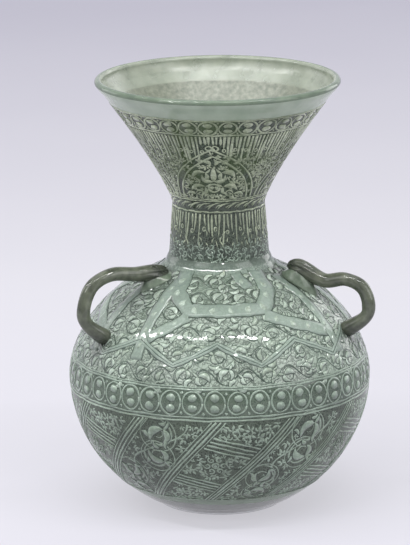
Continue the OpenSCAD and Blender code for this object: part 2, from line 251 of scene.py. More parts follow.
def paint(name, bowl, shoulder, mouth, worn, wear, web=0.0, web_tint="#28322b", web_mm=3.2, clear=0.0,
          crown=0.138, top=MOUTH_START, rough=0.06):
    """Fired paint in three colours by height. Wear is how far it turns to its worn tint in patches."""
    material, tree, place = new_material(name)
    parts = add(tree, "ShaderNodeSeparateXYZ", {"Vector": place})
    lower = add(tree, "ShaderNodeMapRange",
                {"Value": parts.outputs["Z"], "From Min": BOWL_END, "From Max": SHOULDER_START})
    # Painted shade: from crown up the colour turns to the mouth colour, so the top of the shoulder is
    # painted darker, as if shaded by the flaring mouth.
    upper = add(tree, "ShaderNodeMapRange",
                {"Value": parts.outputs["Z"], "From Min": crown, "From Max": top})
    globe_tint = add(tree, "ShaderNodeMix",
                     {MIX_FACTOR: lower.outputs["Result"], MIX_A: linear(bowl), MIX_B: linear(shoulder)},
                     data_type="RGBA")
    tint = add(tree, "ShaderNodeMix",
               {MIX_FACTOR: upper.outputs["Result"], MIX_A: globe_tint.outputs[2], MIX_B: linear(mouth)},
               data_type="RGBA")
    bend = add(tree, "ShaderNodeTexNoise", {"Vector": place, "Scale": per_mm(CURL_MM), "Detail": 3.0})
    bent = add(tree, "ShaderNodeVectorMath", {0: bend.outputs["Color"], 1: (CURL, CURL, CURL), 2: place},
               operation="MULTIPLY_ADD")
    cells = add(tree, "ShaderNodeTexVoronoi", {"Vector": bent.outputs[0], "Scale": per_mm(web_mm)},
                feature="DISTANCE_TO_EDGE")
    hair = add(tree, "ShaderNodeMapRange",
               {"Value": cells.outputs["Distance"], "From Min": 0.03, "From Max": 0.2,
                "To Min": web, "To Max": 0.0})
    lined = add(tree, "ShaderNodeMix",
                {MIX_FACTOR: hair.outputs["Result"], MIX_A: tint.outputs[2], MIX_B: linear(web_tint)},
                data_type="RGBA")
    patch = add(tree, "ShaderNodeTexNoise", {"Vector": place, "Scale": per_mm(PATCH_MM), "Detail": 3.0})
    speck = add(tree, "ShaderNodeTexNoise", {"Vector": place, "Scale": per_mm(SPECK_MM), "Detail": 3.0})
    both = add(tree, "ShaderNodeMath", {0: patch.outputs["Fac"], 1: speck.outputs["Fac"]}, operation="ADD")
    bare = add(tree, "ShaderNodeMapRange",
               {"Value": both.outputs[0], "From Min": 0.8, "From Max": 1.25, "To Max": wear})
    faded = add(tree, "ShaderNodeMix",
                {MIX_FACTOR: bare.outputs["Result"], MIX_A: lined.outputs[2], MIX_B: linear(worn)},
                data_type="RGBA")
    stain = add(tree, "ShaderNodeTexNoise", {"Vector": place, "Scale": per_mm(STAIN_MM), "Detail": 4.0})
    smear = add(tree, "ShaderNodeMapRange",
                {"Value": stain.outputs["Fac"], "From Min": 0.48, "From Max": 0.72, "To Max": STAIN})
    stained = add(tree, "ShaderNodeMix",
                  {MIX_FACTOR: smear.outputs["Result"], MIX_A: faded.outputs[2], MIX_B: linear(STAIN_TINT)},
                  data_type="RGBA")
    high = add(tree, "ShaderNodeMapRange",
               {"Value": parts.outputs["Z"], "From Min": BROWN_START, "From Max": BROWN_FULL})
    warm = add(tree, "ShaderNodeMapRange",
               {"Value": patch.outputs["Fac"], "From Min": 0.46, "From Max": 0.62, "To Max": BROWNED})
    fired = add(tree, "ShaderNodeMath", {0: high.outputs["Result"], 1: warm.outputs["Result"]},
                operation="MULTIPLY")
    browned = add(tree, "ShaderNodeMix",
                  {MIX_FACTOR: fired.outputs[0], MIX_A: stained.outputs[2], MIX_B: linear(BROWN_TINT)},
                  data_type="RGBA")
    # Painted shade round the handles' joints, by a number kept on each point, broken up by the specks.
    joint_shade = add(tree, "ShaderNodeAttribute", attribute_name="joint_shade")
    grain = add(tree, "ShaderNodeMapRange",
                {"Value": speck.outputs["Fac"], "From Min": 0.35, "From Max": 0.6, "To Min": 0.4})
    joint_shade_grain = add(tree, "ShaderNodeMath", {0: joint_shade.outputs["Fac"], 1: grain.outputs["Result"]},
                operation="MULTIPLY")
    final = add(tree, "ShaderNodeMix",
                {MIX_FACTOR: joint_shade_grain.outputs[0], MIX_A: browned.outputs[2], MIX_B: linear(JOINT_SHADE_TINT)},
                data_type="RGBA")
    dull = add(tree, "ShaderNodeMapRange",
               {"Value": speck.outputs["Fac"], "To Min": 0.6 * rough, "To Max": 1.6 * rough})
    waves = add(tree, "ShaderNodeTexNoise", {"Vector": place, "Scale": per_mm(BRUSH_MM), "Detail": 2.0})
    uneven = add(tree, "ShaderNodeBump",
                 {"Height": waves.outputs["Fac"], "Strength": 0.16, "Distance": 1 * MM})
    skin = add(tree, "ShaderNodeBsdfPrincipled",
               {"Base Color": final.outputs[2], "Roughness": dull.outputs["Result"],
                "Normal": uneven.outputs["Normal"], "IOR": ENAMEL_IOR, "Transmission Weight": clear})
    finish_material(tree, skin)
    return material


# A deep wash, fired: a dark, glassy ground with a paler web where the brush thinned it.
dark_wash = paint("dark_green_wash_fired_on_glass", "#2b362b", "#4a584d", "#182016", "#566352", 0.45,
                  0.45, "#839080", 2.3, 0.12)
# A thin wash, fired: a pale ground that still passes light, covered by a dark web of hair lines.
# Its mouth colour shows only as painted shade, darkening the top of the shoulder under the mouth.
field_wash = paint("thin_green_wash_fired_on_glass", "#8c988d", "#b2c0b1", "#6b796d", "#91a192", 0.5,
                   0.78, "#2c3830", 3.0, 0.25)
# Pale enamel, drawn with a brush: chalky green lines, rubbed thin in places.
pale_line = paint("pale_green_enamel_line", "#99aa9a", "#b0beb0", "#c0c9ac", "#66745f", 0.6,
                  0.3, "#55635a", 2.6, crown=0.17)
# The same enamel, drawn thinner: greyer, because the ground shows through.
band_line = paint("grey_green_enamel_line", "#8d9d8e", "#93a394", "#8d9d8e", "#6c7a6c", 0.55,
                  0.3, "#55635a", 2.6)
# Glass left free of the wash: smooth and pale, a little clear, with faint smears.
# Its mouth colour shows only as painted shade, darkening the upper straps under the mouth.
strap_glass = paint("pale_green_glass_left_bare", "#a8b3a6", "#a3b2a5", "#65736a", "#8b9b8e", 0.8,
                    0.4, "#66756a", 3.4, 0.2)
# Dark enamel, drawn with a fine brush: nearly black lines that turn grey where they wore.
dark_line = paint("blackish_green_enamel_line", "#2b362d", "#3a483e", "#262c21", "#66756a", 0.5)
# A wash that thins down the foot of the neck: dark above, grey below, with a polished skin.
neck_wash = paint("thin_green_wash_neck_foot", "#8c988d", "#8a988c", "#272f26", "#6f7d71", 0.5,
                  0.5, "#3a463d", 2.6, 0.1, crown=0.1725, top=0.1805, rough=0.045)
print("paint:", [m.name for m in (dark_wash, field_wash, pale_line, strap_glass, dark_line)])

# %% [markdown]
# ## The skin of the vessel
# A blown vessel is round, so one outline turned about the axis gives it all. The sizes come from
# the solids' boxes, and the shape of each stretch from the same curves that they were drawn with:
# a flattened ellipse for the shoulder, a rounder one for the bowl, a spreading foot under the neck
# and a gentle flare for the mouth. The ornament needs places on that skin, so a function turns an
# angle and a distance along the skin into a point, a little above or below the surface.

# %% Outline
def size_of(node):
    """The low and the high corner of a solid's box, in millimetres."""
    low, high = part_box(node)
    return low / MM, high / MM


bowl_low, bowl_high = size_of("globe_bowl")
shoulder_high = size_of("globe_shoulder")[1]
neck_high = size_of("neck_collar")[1]
mouth_high = size_of("mouth_funnel")[1]
GLOBE_R, FOOT_H, SEAM_Z = bowl_high.x, bowl_low.z, shoulder_high.z
WAIST_Z = neck_high.z
MOUTH_R, RIM_Z = mouth_high.x, mouth_high.z
GLOBE_MID, GLOBE_RISE, BOWL_DIP = bowl_high.z, 86.0, 9.0
SHOULDER_POWER, BOWL_POWER = 1.83, 1.98
NECK_R, WAIST_R = 35.6, 31.7
SKIRT_H, SKIRT_POWER, FLARE_POWER = 14.0, 2.6, 1.23
WALL, FLOOR_T = 3.2, 4.0


def turned_curve(rise, wide, tall, power):
    """The radius of a flattened or filled ellipse at a rise over its widest place."""
    return wide * (1 - np.clip(rise / tall, 0, 1) ** power) ** (1 / power)


def globe_radius(z, inset=0.0):
    z = np.asarray(z, float)
    wide = GLOBE_R - inset
    bowl = turned_curve(np.maximum(GLOBE_MID - z, 0), wide, GLOBE_MID + BOWL_DIP - inset, BOWL_POWER)
    shoulder = turned_curve(np.maximum(z - GLOBE_MID, 0), wide, GLOBE_RISE - inset, SHOULDER_POWER)
    return np.where(z < GLOBE_MID, bowl, shoulder)


def neck_radius(z, inset=0.0):
    rise = np.asarray(z, float) - SEAM_Z
    skirt = np.clip(1 - rise / SKIRT_H, 0, 1) ** SKIRT_POWER
    spread = globe_radius(SEAM_Z, inset) - NECK_R + inset
    return (NECK_R - inset) + (WAIST_R - NECK_R) * rise / (WAIST_Z - SEAM_Z) + spread * skirt


def mouth_radius(z, inset=0.0):
    rise = np.clip((np.asarray(z, float) - WAIST_Z) / (RIM_Z - WAIST_Z), 0, 1)
    return WAIST_R - inset + (MOUTH_R - WAIST_R) * rise ** FLARE_POWER


def skin_radius(z):
    z = np.asarray(z, float)
    return np.where(z < SEAM_Z, globe_radius(z), np.where(z < WAIST_Z, neck_radius(z), mouth_radius(z)))


print("radii in mm: globe", round(GLOBE_R, 1), "waist", WAIST_R, "mouth", round(MOUTH_R, 1))

# %% [markdown]
# ## Places on the skin
# Paint is measured along the glass, as a tape would lie on it, not straight up. So the outline is
# walked once from the foot to the rim, and tables give radius, height and slope at each length.
# Breath and tools never leave a vessel quite round, so one more function swells every piece of it,
# and everything laid on it, by the same few tenths of a millimetre.

# %% Places on the skin
SKIN_STEPS = 3000
SWELLS = ((0.25, 2, 60, 0.7), (0.14, 3, -38, 2), (0.05, 7, 17, 0))
NEAR_AXIS = 5
skin_z = np.linspace(0, RIM_Z, SKIN_STEPS)
skin_r = skin_radius(skin_z)
skin_arc = np.concatenate([[0], np.cumsum(np.hypot(np.diff(skin_z), np.diff(skin_r)))])
slope_r, slope_z = np.gradient(skin_r, skin_arc), np.gradient(skin_z, skin_arc)


def arc_at(z):
    """Millimetres along the skin from its lower edge up to a height."""
    return float(np.interp(z, skin_z, skin_arc))


def radius_at(arc):
    return np.interp(arc, skin_arc, skin_r)


def on_skin(around, arc, lift):
    """Points in metres at angles from the front and distances along the skin, lift millimetres proud."""
    radius = radius_at(arc) + lift * np.interp(arc, skin_arc, slope_z)
    height = np.interp(arc, skin_arc, skin_z) - lift * np.interp(arc, skin_arc, slope_r)
    turn = np.radians(around)
    return np.stack([radius * np.sin(turn), -radius * np.cos(turn), height], -1) * MM


def hand_blown(points):
    """Swells and draws in the vessel: each swell has a size, waves around, a pitch and a start."""
    around = np.arctan2(points[:, 0], -points[:, 1])
    height = points[:, 2] / MM
    swell = sum(size * np.sin(waves * around + height / pitch + start)
                for size, waves, pitch, start in SWELLS)
    reach = np.maximum(np.hypot(points[:, 0], points[:, 1]) / MM, NEAR_AXIS)
    return points * np.stack([1 + swell / reach, 1 + swell / reach, np.ones_like(reach)], -1)


print("skin from foot to rim in mm:", round(skin_arc[-1], 1), "seam at", round(arc_at(SEAM_Z), 1))

# %% [markdown]
# ## Bands of ornament
# The painter divided the skin into bands with rings, and each band has its own ground: bare glass
# at the rim and round the foot, dark wash under the fine bands and the bowl, and a thin wash under
# the strapwork of the shoulder. The heights of the rings are given once here, so that the glass,
# the wash and the brushwork all change at the same line.

# %% Band heights
CLEAR_EDGE, PLAIN_EDGE = 14.0, 18.5
BAND_LOW, BAND_HIGH = 87.5, 106.5
STRAP_TOP = 171.0
PLAIN_NECK_TOP = 187.0
ROPE_LOW, ROPE_HIGH = 213.5, 222.0
CHAIN_LOW, CHAIN_HIGH = 274.5, 286.0
GROUNDS = [(0, CLEAR_EDGE, foot_glass), (CLEAR_EDGE, PLAIN_EDGE, edge_glass),
           (PLAIN_EDGE, BAND_HIGH, dark_wash), (BAND_HIGH, STRAP_TOP, field_wash),
           (STRAP_TOP, PLAIN_NECK_TOP, neck_wash), (PLAIN_NECK_TOP, CHAIN_HIGH, dark_wash),
           (CHAIN_HIGH, RIM_Z + 1, clear_glass)]
print("bands:", len(GROUNDS))

# %% [markdown]
# ## Shade at the joints
# Round the two joints of each handle, where the handle and the wall close in on each other, the glass
# is darkened with painted shade. A material could find those places by distance, but there are six
# of them. So each point of a mesh is given a number here, from its distance to the nearest joint,
# and every material reads that number as an attribute.

# %% Joint shade
HANDLE_ANGLES = (-65.0, 65.0, 180.0)
JOINT_SHADE_SPOTS = ((124.0, 17.0), (165.0, 24.0))
JOINT_SHADE_MOST = 0.8
joint_shade_places = [(on_skin(np.array([angle]), np.array([arc_at(z)]), 0)[0], reach * MM)
               for angle in HANDLE_ANGLES for z, reach in JOINT_SHADE_SPOTS]


def read_points(mesh):
    flat = np.zeros(len(mesh.vertices) * 3)
    mesh.vertices.foreach_get("co", flat)
    return flat.reshape(-1, 3)


def write_points(mesh, points):
    mesh.vertices.foreach_set("co", points.ravel())
    mesh.update()


def paint_joint_shade(made):
    """Marks each point of a piece with how much painted shade it takes, near the handles' joints."""
    points = read_points(made.data)
    joint_shade = np.zeros(len(points))
    for place, reach in joint_shade_places:
        near = np.clip(1 - np.linalg.norm(points - place, axis=1) / reach, 0, 1)
        joint_shade = np.maximum(joint_shade, JOINT_SHADE_MOST * near * near * (3 - 2 * near))
    made.data.attributes.new("joint_shade", "FLOAT", "POINT").data.foreach_set("value", joint_shade)


# %% [markdown]
# ## Turning a shape
# Most pieces of the lamp are round, as they left the blowpipe. A lathe gives such a shape in wood.
# Here an outline of vertices is spun about the axis, its ends are merged, and its faces are turned
# outwards. Another helper names what a finished piece rides on and which solids it stands for.

# %% Turning helpers
TURN_STEPS = 240
MERGE_M = 1e-6


def as_object(name, bm, sharp_degrees=40):
    """Turns a bmesh into a smooth object in the scene."""
    mesh = bpy.data.meshes.new(name)
    bm.to_mesh(mesh)
    bm.free()
    mesh.shade_smooth()
    mesh.set_sharp_from_angle(angle=math.radians(sharp_degrees))
    made = bpy.data.objects.new(name, mesh)
    bpy.context.scene.collection.objects.link(made)
    return made


def spun(name, outline, steps=TURN_STEPS):
    """Spins an outline of radii and heights in millimetres into a closed, smooth mesh object."""
    closed = outline[0] == outline[-1]
    bm = bmesh.new()
    verts = [bm.verts.new((0, -r * MM, z * MM)) for r, z in outline[:len(outline) - closed]]
    edges = [bm.edges.new(pair) for pair in zip(verts, verts[1:] + verts[:1] * closed)]
    bmesh.ops.spin(bm, geom=verts + edges, cent=(0, 0, 0), axis=(0, 0, 1), angle=2 * math.pi, steps=steps,
                   use_merge=True)
    bmesh.ops.remove_doubles(bm, verts=bm.verts, dist=MERGE_M)
    bmesh.ops.recalc_face_normals(bm, faces=bm.faces)
    return as_object(name, bm)


def dress(made, body, slot, *nodes):
    """Names what a piece rides on and hides the solids that it stands for. The slot is not used."""
    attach(made, body)
    if nodes:
        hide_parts(*nodes)
    faces = sum(len(p.vertices) - 2 for p in made.data.polygons)
    print(made.name, "triangles:", faces)
    return made


print("a full turn has", TURN_STEPS, "steps")

# %% [markdown]
# ## Glass shells
# Each stretch of the vessel is one closed shell: up the outside, over the seam and down the inside.
# The rows of its faces follow the band heights, so that each face lies in one band and can take
# that band's ground. The inside stays bare glass: mottled where paint lies behind it, and clear
# above the highest band.

# %% Shells
ROW_MM, ROW_CLEAR = 2.2, 0.3


def rows(low, high):
    """Heights from low to high, evenly along the skin, with every band's edge among them."""
    run = arc_at(high) - arc_at(low)
    arcs = np.linspace(arc_at(low), arc_at(high), max(2, round(run / ROW_MM)))
    heights = list(np.interp(arcs, skin_arc, skin_z))
    edges = [z for _, z, _ in GROUNDS if low + ROW_CLEAR < z < high - ROW_CLEAR]
    kept = [z for z in heights if all(abs(z - e) > ROW_CLEAR for e in edges)]
    kept[0], kept[-1] = low, high
    return sorted(kept + edges)


def ground_shell(made):
    """Gives each face of a shell its band's ground outside, and bare glass inside."""
    grounds = [ground for _, _, ground in GROUNDS] + [inner_glass, inner_lip_glass]
    for ground in grounds:
        made.data.materials.append(ground)
    painted_inside, clear_inside = len(grounds) - 2, len(grounds) - 1
    for face in made.data.polygons:
        spot = face.center / MM
        outside = math.hypot(spot.x, spot.y) > float(skin_radius(spot.z)) - WALL / 2
        band = next(i for i, (low, high, _) in enumerate(GROUNDS) if low <= spot.z < high)
        inside = clear_inside if spot.z > CHAIN_HIGH else painted_inside
        face.material_index = band if outside else inside
    write_points(made.data, hand_blown(read_points(made.data)))
    paint_joint_shade(made)


def wall_outline(radius, low, high):
    """A stretch of the wall as a closed outline: up its outside and down its inside."""
    up = [(float(radius(z)), z) for z in rows(low, high)]
    down = [(float(radius(z, WALL)), z) for z in reversed(rows(low, high))]
    return up + down + up[:1]


globe_up = [(float(globe_radius(z)), z) for z in rows(FOOT_H, SEAM_Z)]
globe_down = [(float(globe_radius(z, WALL)), z) for z in reversed(rows(FOOT_H + FLOOR_T, SEAM_Z))]
globe = spun("globe", [(0, FOOT_H)] + globe_up + globe_down + [(0, FOOT_H + FLOOR_T)])
neck = spun("neck", wall_outline(neck_radius, SEAM_Z, WAIST_Z))
mouth = spun("mouth", wall_outline(mouth_radius, WAIST_Z, RIM_Z))
for shell in (globe, neck, mouth):
    ground_shell(shell)
dress(globe, "lamp", "painted_glass", "globe_bowl", "globe_shoulder")
dress(neck, "lamp", "painted_glass", "neck_collar")
dress(mouth, "lamp", "painted_glass", "mouth_funnel")

# %% [markdown]
# ## Threads and foot
# A rounded thread of glass finishes the rim, a flat one lies round the foot of the neck, and a
# clear pad carries the lamp. Each was laid on hot and flowed at its edges, so their outlines are
# arcs with no corners, and the rim's thread runs out along the wall on both sides. They are spun
# like the walls, and swell with the wall under them. The rim takes the green of thick glass on its
# lip, and the glass of the wall where it has run out.

# %% Threads and foot
RIM_D, RIM_LIFT, RIM_RUN = 5.2, 1.2, 0.6
RUN_OUTSIDE = ((7, 0.02), (5, 0.15), (3, 0.6))
RUN_INSIDE = ((2, 0.5), (4, 0.2), (6, 0.02))
FACING_IN = -0.03
THREAD_HALF, THREAD_PROUD, THREAD_UP, THREAD_SUNK = 2.4, 0.6, 9.0, 0.5
FOOT_EDGE = 1.0


def arc_points(middle, radius, start, stop, count):
    """Points on a circle, with angles in degrees from straight outwards, turning upwards."""
    turns = np.radians(np.linspace(start, stop, count))
    return [(middle[0] + radius * math.cos(a), middle[1] + radius * math.sin(a)) for a in turns]


rim_middle = (MOUTH_R - WALL / 2, RIM_Z + RIM_LIFT)
rim_points = [(float(mouth_radius(RIM_Z - down)) + proud, RIM_Z - down) for down, proud in RUN_OUTSIDE]
rim_points += arc_points(rim_middle, RIM_D / 2, -20, 190, 24)
rim_points += [(float(mouth_radius(RIM_Z - down, WALL)) - proud, RIM_Z - down) for down, proud in RUN_INSIDE]
rim = spun("rim", rim_points + rim_points[:1])
thread_z = SEAM_Z + THREAD_UP
thread_heights = np.linspace(thread_z - THREAD_HALF, thread_z + THREAD_HALF, 9)
thread_rise = THREAD_PROUD * (1 - ((thread_heights - thread_z) / THREAD_HALF) ** 2)
thread_out = list(zip((neck_radius(thread_heights) + thread_rise).tolist(), thread_heights.tolist()))
thread_in = [(float(neck_radius(z)) - THREAD_SUNK, float(z)) for z in reversed(thread_heights)]
thread = spun("thread", thread_out + thread_in + thread_out[:1])
foot_r = float(globe_radius(FOOT_EDGE))
foot_sides = [(float(globe_radius(z)), float(z)) for z in np.linspace(FOOT_EDGE, FOOT_H, 6)]
foot_edge = arc_points((foot_r - FOOT_EDGE, FOOT_EDGE), FOOT_EDGE, -90, -10, 6)
foot = spun("foot", [(0, 0)] + foot_edge + foot_sides + [(0, FOOT_H)])
for ring, node, finish in ((rim, "rim_thread", lip_glass), (thread, "neck_thread", neck_wash),
                           (foot, "foot_pad", foot_glass)):
    ring.data.materials.append(finish)
    write_points(ring.data, hand_blown(read_points(ring.data)))
    dress(ring, "lamp", "clear_glass", node)
rim.data.materials.append(inner_lip_glass)
rim.data.materials.append(clear_glass)
for face in rim.data.polygons:
    facing = face.normal.x * face.center.x + face.normal.y * face.center.y
    below_lip = face.center.z / MM < RIM_Z - RIM_RUN
    face.material_index = 1 if facing < FACING_IN else 2 if below_lip else 0

# %% [markdown]
# ## Brush strokes
# The ornament is drawn with a brush, so it is built of strokes: a middle line and a half width at
# each point of it. Painting it as a picture would need image data, and a shader pattern can't follow
# leaves and straps. Here one long strip of faces is cut into lengths, one for each stroke, and laid
# on the skin a tenth of a millimetre proud. A Solidify modifier gives the enamel its thickness.
# A hand trembles and presses unevenly, so small waves run through every stroke.

# %% Stroke helpers
ENAMEL_T = 0.3
CLOSED = 1e-6
STROKE_MERGE_M = 2e-6
CROSS_LIFT, CROSS_COUNT = 0.002, 10
TREMBLE = ((0.2, 0.7, 0), (0.1, 1.9, 0))
PRESSURE = ((0.24, 1.1, 1), (0.16, 0.37, 0))
POINT_BEAT, STROKE_BEAT, PRESS_MOST = 0.8, 2.4, 0.8


def ripple(at, waves):
    """A sum of sine waves, each with its size, its pace and its start."""
    return sum(size * np.sin(pace * at + start) for size, pace, start in waves)


def by_hand(stroke, i):
    """The same stroke with the small tremble and the changing pressure of a hand."""
    around, arc, half = stroke
    beat = np.arange(len(arc)) * POINT_BEAT + STROKE_BEAT * i
    return around, arc + ripple(beat, TREMBLE), half + ripple(beat, PRESSURE) * np.minimum(half, PRESS_MOST)


def stroke_edges(around, arc, half):
    """The two edges of a stroke, as angles and distances along the skin."""
    spin = np.radians(around)
    flat = spin * radius_at(arc) + 1j * arc
    if abs(flat[0] - flat[-1]) < CLOSED or abs(spin[-1] - spin[0]) > 2 * math.pi - CLOSED:
        before, after = spin[-2] - spin[-1] + spin[0], spin[1] - spin[0] + spin[-1]
        pace = np.gradient(np.concatenate([[before], spin, [after]]))[1:-1]
        rise = np.gradient(np.concatenate([[arc[-2]], arc, [arc[1]]]))[1:-1]
    else:
        pace, rise = np.gradient(spin), np.gradient(arc)
    along = pace * radius_at(arc) + 1j * rise
    across = 1j * along / np.maximum(np.abs(along), 1e-9) * half
    turn = np.degrees(across.real / radius_at(arc))
    return around - turn, arc - across.imag, around + turn, arc + across.imag


def lay(name, strokes, lift, enamel, across=1):
    """Lays strokes on the skin as one piece, lift millimetres proud of it."""
    strokes = [by_hand(stroke, i) for i, stroke in enumerate(strokes)]
    counts = [len(arc) for _, arc, _ in strokes]
    length = sum(counts) - 1
    bm = bmesh.new()
    bmesh.ops.create_grid(bm, x_segments=length, y_segments=across, size=0.5)
    bm.faces.ensure_lookup_table()
    gaps = np.cumsum(counts)[:-1] - 1
    cuts = [bm.faces[int(gap + row * length)] for row in range(across) for gap in gaps]
    bmesh.ops.delete(bm, geom=cuts, context="FACES")
    mesh = bpy.data.meshes.new(name)
    bm.to_mesh(mesh)
    edges = [np.concatenate(part) for part in zip(*(stroke_edges(*stroke) for stroke in strokes))]
    lifts = np.concatenate([np.full(n, lift + CROSS_LIFT * (i % CROSS_COUNT)) for i, n in enumerate(counts)])
    shares = np.linspace(0, 1, across + 1)
    points = [on_skin(edges[0] + (edges[2] - edges[0]) * s, edges[1] + (edges[3] - edges[1]) * s, lifts)
              for s in shares]
    write_points(mesh, hand_blown(np.concatenate(points)))
    bm.clear()
    bm.from_mesh(mesh)
    bmesh.ops.remove_doubles(bm, verts=bm.verts, dist=STROKE_MERGE_M)
    made = as_object(name, bm)
    bpy.data.meshes.remove(mesh)
    made.data.materials.append(enamel)
    paint_joint_shade(made)
    thick = made.modifiers.new("enamel", "SOLIDIFY")
    thick.thickness = ENAMEL_T * MM
    thick.offset = -1
    print("strokes:", len(strokes), end=" ")
    return dress(made, "lamp", "painted_glass")


print("enamel in mm:", ENAMEL_T)

# %% [markdown]
# ## From flat to round
# Ornament is easier to draw flat. Each motif is drawn as complex numbers in millimetres, where the
# real part runs round the lamp and the imaginary part up its skin, so that turning a motif is one
# multiplication. These helpers then wrap a motif, a hoop or a run of straight lines round the lamp.

# %% Wrapping helpers
def wrap(motif, around, arc, turn=0.0, size=1.0, flip=False):
    """Places a flat motif, a list of lines and half widths, on the skin, turned, sized or mirrored."""
    placed = []
    for line, half in motif:
        drawn = (-np.conj(line) if flip else line) * size * np.exp(1j * math.radians(turn))
        height = arc + drawn.imag
        placed.append((around + np.degrees(drawn.real / radius_at(height)), height, half * size))
    return placed


def hoop(arc, half, count=240):
    """A ring right round the lamp."""
    return [(np.linspace(0, 360, count + 1), np.full(count + 1, arc), np.full(count + 1, half))]


def along_line(corners, step_mm=3.0):
    """Points along straight runs between corners of angle and arc, close enough to follow the skin."""
    around, arc = [], []
    for (a0, s0), (a1, s1) in zip(corners, corners[1:]):
        run = math.hypot(math.radians(a1 - a0) * float(radius_at((s0 + s1) / 2)), s1 - s0)
        share = np.linspace(0, 1, max(2, round(run / step_mm)), endpoint=False)
        around.append(a0 + (a1 - a0) * share)
        arc.append(s0 + (s1 - s0) * share)
    around.append([corners[-1][0]])
    arc.append([corners[-1][1]])
    return np.concatenate(around), np.concatenate(arc)


print("a degree at the globe's middle in mm:", round(math.radians(1) * GLOBE_R, 2))

# %% [markdown]
# ## Motifs
# A few small shapes make up all the ornament: a bead, a ring, a scroll that winds inwards, a leaf
# that bends, and a split leaf with two lobes, which is the arabesque of this kind of painting. Each
# is one or two strokes of the brush, thick in the middle and thin where the brush lifts.

# %% Motifs
def bead(radius, stretch=1.0):
    t = np.linspace(-1, 1, 9)
    return [(stretch * radius * t + 0j, radius * np.sqrt(1 - t ** 2))]


def ring_line(wide, tall, half, count=20):
    t = np.linspace(0, 2 * math.pi, count + 1)
    return [(wide * np.cos(t) + 1j * tall * np.sin(t), np.full(count + 1, half))]


def scroll(radius, turns=1.4, half=0.45, count=15):
    """A line that winds inwards to a seventh of its radius, thin at both ends."""
    t = np.linspace(0, 1, count)
    line = radius * (1 - 0.86 * t) * np.exp(2j * math.pi * turns * t)
    return [(line, half * (0.25 + 0.75 * np.sin(math.pi * np.clip(t + 0.18, 0, 1))))]


def leaf(length, fat, bend=0.2, count=8):
    """A pointed leaf along the real axis, fattest a little before its middle."""
    t = np.linspace(0, 1, count)
    line = length * (t + 1j * bend * np.sin(math.pi * t))
    return [(line, fat * np.sin(math.pi * t ** 0.8))]


def turned(motif, degrees, shift=0j):
    return [(line * np.exp(1j * math.radians(degrees)) + shift, half) for line, half in motif]


def pair(motif, shift):
    """The same motif twice, moved one way and the other."""
    return turned(motif, 0, shift) + turned(motif, 0, -shift)


def split_leaf(length, fat):
    """Two lobes that part from one stalk and curl away from each other."""
    return (leaf(length, fat, 0.28) + turned(leaf(0.72 * length, 0.75 * fat, -0.3), -42)
            + turned(leaf(0.5 * length, 0.4 * fat, 0.1), 165))


def palmette(length, fat):
    """Three leaves on one foot, the outer two curling down."""
    sides = [turned(leaf(0.8 * length, 0.8 * fat, bend), degrees)
             for degrees, bend in ((90 + 52, 0.32), (90 - 52, -0.32))]
    return turned(leaf(length, fat, 0.0), 90) + sides[0] + sides[1]


print("motifs: bead, ring, scroll, leaf, split leaf, palmette")

# %% [markdown]
# ## Chains of loops
# Two bands carry a row of upright loops, each round a pair of beads, between pale hoops: a narrow
# one under the rim, with 32 loops, and a wide one round the middle of the globe, with 43. One loop
# is drawn and repeated. The painter stepped them off by eye, so each one is then moved, tilted and
# sized by a little chance. The lifts say which layer of paint lies over which.

# %% Chains
VINE_LIFT, EDGE_LIFT, LEAF_LIFT, STRAP_LIFT, LINE_LIFT = 0.05, 0.08, 0.11, 0.20, 0.28
LAYER = 0.03
HOOP_HALF, SIDE_HOOP_HALF, LOOP_HALF = 0.6, 0.45, 0.55
LOOP_WIDE, LOOP_TALL, BEAD_UP = 0.92, 0.86, 0.38
CORNER_R, CORNER_UP = 0.1, 0.72
STRAY_UP, STRAY_TILT, STRAY_SIZE = 0.3, 14, (0.93, 1.04)
BAND_LOOPS, MOUTH_LOOPS = 43, 32


def chain(low, high, count, first, bead_share, bead_stretch):
    """A row of loops, each round a pair of beads, between two hoops."""
    middle, tall = (low + high) / 2, (high - low) / 2
    wide = math.pi * float(radius_at(middle)) / count
    unit = ring_line(LOOP_WIDE * wide, LOOP_TALL * tall, LOOP_HALF, 24)
    unit += pair(bead(bead_share * tall, bead_stretch), BEAD_UP * 1j * tall)
    corner = pair(bead(CORNER_R * tall), CORNER_UP * 1j * tall)
    drawn = hoop(low, HOOP_HALF) + hoop(high, HOOP_HALF)
    hand = np.random.default_rng(count)
    for k in range(count):
        around = first + 360 * k / count
        up = hand.uniform(-STRAY_UP, STRAY_UP)
        tilt = hand.uniform(-STRAY_TILT, STRAY_TILT)
        drawn += wrap(unit, around, middle + up, tilt, hand.uniform(*STRAY_SIZE))
        drawn += wrap(corner, around + 180 / count, middle)
    return drawn


chain_low, chain_high = arc_at(CHAIN_LOW), arc_at(CHAIN_HIGH)
band_low, band_high = arc_at(BAND_LOW), arc_at(BAND_HIGH)
side_hoops = hoop(band_low - 2.0, SIDE_HOOP_HALF) + hoop(band_high + 1.6, SIDE_HOOP_HALF)
lay("band_loops", chain(band_low, band_high, BAND_LOOPS, 0.0, 0.27, 1.25) + side_hoops, LINE_LIFT, band_line)

# %% [markdown]
# ## Filling a field
# Painters of such lamps left no ground empty: small palmettes fill what the main lines leave. They
# could be set one by one, but a loose lattice does it for any field. Every place on it measures the
# room that it has, and takes the motif at full size, smaller, or not at all.

# %% Filling helpers
rng = np.random.default_rng(11)
ROW_SHARE, LATTICE_STRAY, MOTIF_REACH = 0.87, 0.14, 0.52
FAR_MM, BATCH = 99.0, 200


